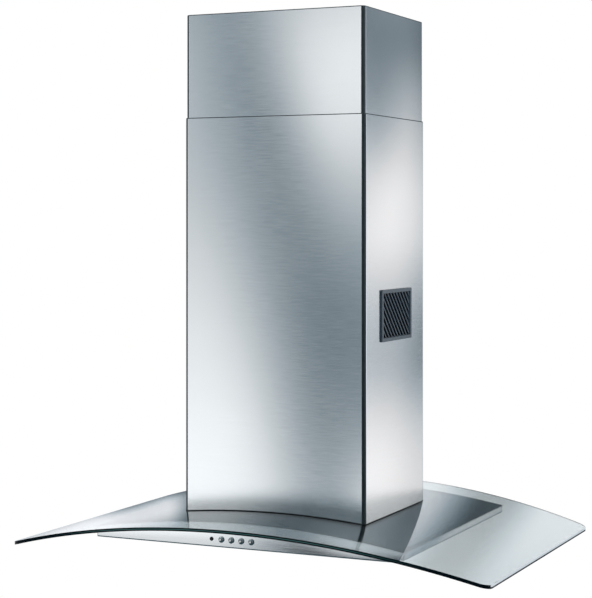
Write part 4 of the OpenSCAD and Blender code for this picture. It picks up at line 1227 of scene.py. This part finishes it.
@dataclass
class Studio:
    """White surroundings, reflector cards, one soft lamp and a pale floor."""

    floor_z: float = -4.2
    floor_half: float = 9.0
    floor_lift: float = 0.35
    ambient: float = 0.85
    lamp_size: tuple[float, float] = (2.4, 2.0)
    lamp_watts: float = 60.0
    lamp_place: tuple[float, float, float] = (-1.8, -2.6, 1.6)
    lamp_aim: tuple[float, float, float] = (0.0, 0.0, -0.7)
    front_y: float = -1.745
    low_z: float = -2.05

    def world(self) -> None:
        """White to the camera, in mirrors and through glass; a grey dome to plain surfaces."""
        s = Shader("studio", world=True)
        white = s.add("Background", Color=(1, 1, 1, 1), Strength=1.0)
        dome = s.add("Background", Color=(0.93, 0.96, 1.0, 1), Strength=self.ambient)
        mixed = s.add("MixShader", i0=s.seen(), i1=dome.outputs[0], i2=white.outputs[0])
        bpy.context.scene.world = s.finish(mixed.outputs[0])

    def floor(self) -> bpy.types.Object:
        """Pale floor far below the hood, lifted to white where it is seen, with its shadow kept."""
        s = Shader("studio_floor")
        pale = s.add("BsdfDiffuse", Color=(0.86, 0.87, 0.88, 1))
        lift = s.add("Emission", Color=(1, 1, 1, 1),
                     Strength=s.math("MULTIPLY", s.seen(), self.floor_lift))
        both = s.add("AddShader", i0=pale.outputs[0], i1=lift.outputs[0])
        material = s.finish(both.outputs[0])
        far = self.floor_half
        points = np.array([[-far, -far, 0], [far, -far, 0], [far, far, 0], [-far, far, 0]])
        floor = mesh_object("studio_floor", points + (0, 0, self.floor_z), [[0, 1, 2, 3]], material)
        return floor

    def lamp(self) -> bpy.types.Object:
        """Large soft lamp over the front left; sheet and glass mirror the cards instead of it."""
        data = bpy.data.lights.new("key", "AREA")
        data.shape, (data.size, data.size_y) = "RECTANGLE", self.lamp_size
        data.energy = self.lamp_watts
        lamp = bpy.data.objects.new("key", data)
        lamp.location = self.lamp_place
        lamp.rotation_mode = "QUATERNION"
        aim = Vector(self.lamp_aim) - Vector(self.lamp_place)
        lamp.rotation_quaternion = aim.to_track_quat("-Z", "Y")
        lamp.visible_glossy = False
        bpy.context.scene.collection.objects.link(lamp)
        return lamp

    def cards(self) -> list[bpy.types.Object]:
        """Cards all round: what the chimney's faces, the roof and the buttons mirror.

        The front and right cards are what the chimney's two faces mirror towards the photo's
        camera, the back card is what the glass and the roof mirror; the others keep the
        remaining directions grey.

        Returns:
            The cards.
        """
        y, z = self.front_y, self.low_z
        cards = (
            ReflectorCard("front_card", Wall.ACROSS, y, (-2.4, -0.1), (z, 2.6), 0.24, (
                Panel((-1.144, -1.444), 0.483, 0.168, 0.922, 1.24, 12.1),
                Panel((-0.224, 0.129), 0.503, 0.103, 0.289, 1.018, 18.9),
                Panel((-0.207, -1.338), 0.293, 0.087, 0.211, 1.9, 7.5),
                Panel((-1.276, 0.140), 0.279, 0.262, 0.181, 0.322, 29.5),
                Panel((-0.9, -1.72), 0.33, 0.07, 5.0, -0.5, 90.0),
                Panel((-0.64, -1.72), 0.10, 0.10, 0.25, -0.55),
                Panel((-0.2, -1.5), 0.17, 0.05, 0.22, -1.9))),
            ReflectorCard("right_card", Wall.ALONG, 0.476, (0.45, 1.1), (-1.25, 0.3), 0.05, (
                Panel((0.826, -0.352), 0.214, 0.195, 3.562, 1.172, 87.4),
                Panel((0.732, -0.969), 0.261, 0.247, 3.612, 1.195, 89.5),
                Panel((1.191, -0.280), 0.264, 0.126, 0.679, -0.609, -9.6),
                Panel((0.533, -0.277), 0.081, 0.115, 0.572, -0.385, -40.0),
                Panel((0.840, 0.081), 0.216, 0.133, 0.167, 0.579, 72.6)), lit=(1.06, 1.0, 0.975),
                again=0.8),
            ReflectorCard("back_card", Wall.ACROSS, 1.5, (-2.4, 2.6), (z, 0.8), 0.12, (
                Panel((0.93, -0.65), 0.86, 0.09, 0.35, 0.85),
                Panel((-0.33, -0.54), 0.15, 0.11, 0.5, 0.95),
                Panel((-1.76, -0.85), 0.64, 0.06, 0.15, 0.95),
                Panel((-1.90, -1.12), 0.55, 0.10, 0.15, 0.6),
                Panel((1.9, -0.4), 0.9, 0.05, 5.0, 0.8)), lit=(0.98, 1.0, 1.04), again=0.35),
            ReflectorCard("camera_card", Wall.ACROSS, y, (-0.1, 2.6), (z, 3.2), 0.05, (
                Panel((1.0, 0.6), 0.5, 0.2, 1.2, 0.42),)),
            ReflectorCard("far_right_card", Wall.ALONG, 2.6, (y, 1.5), (z, 3.2), 0.05, (
                Panel((1.10, -0.4), 0.57, 0.06, 5.0, 0.5),
                Panel((0.0, 1.0), 2.05, 0.15, 2.0, 0.5, 90.0))),
            ReflectorCard("left_card", Wall.ALONG, -2.4, (y, 1.5), (z, 1.2), 0.45, (
                Panel((-0.15, -1.68), 0.42, 0.06, 5.0, 0.5, 90.0),)),
            ReflectorCard("floor_card", Wall.LEVEL, z, (-2.0, 2.6), (y, 0.9), 0.10,
                          dim=(0.60, 1.0, 1.15)),
        )
        return [card.build() for card in cards]

    def build(self) -> None:
        """Sets up everything round the object."""
        self.world()
        self.floor()
        self.lamp()
        self.cards()
        bpy.context.scene.view_settings.view_transform = "Standard"


def main() -> None:
    """Builds the pieces, dresses the nodes and reports each step."""
    logging.basicConfig(level=logging.INFO, format="%(name)s: %(message)s")
    PhotoCamera().build()
    shelf = FinishShelf()
    log.info("dressed %d nodes", CadNodes().dress(shelf))
    window = (*SIZES.window, SIZES.crown + SIZES.window_middle)
    tubes = (
        ChimneyTube("chimney_upper", "upper_chimney", Body.CHIMNEY, SIZES.upper, 0.0,
                    SIZES.upper_low),
        ChimneyTube("chimney_lower", "lower_chimney", Body.HOOD, SIZES.lower, SIZES.seam, None,
                    window),
    )
    for tube in tubes:
        log.info("built %s", tube.build(shelf).name)
    log.info("built %s", GlassCanopy().build(shelf).name)
    body = SteelBody()
    log.info("built %s and %s", body.walls(shelf).name, body.roof(shelf).name)
    log.info("built %d buttons", len(PushButtons().build(shelf)))
    log.info("built %d pleated pads", len(PleatedPads().build(shelf)))
    Studio().build()


if __name__ == "__main__":
    main()
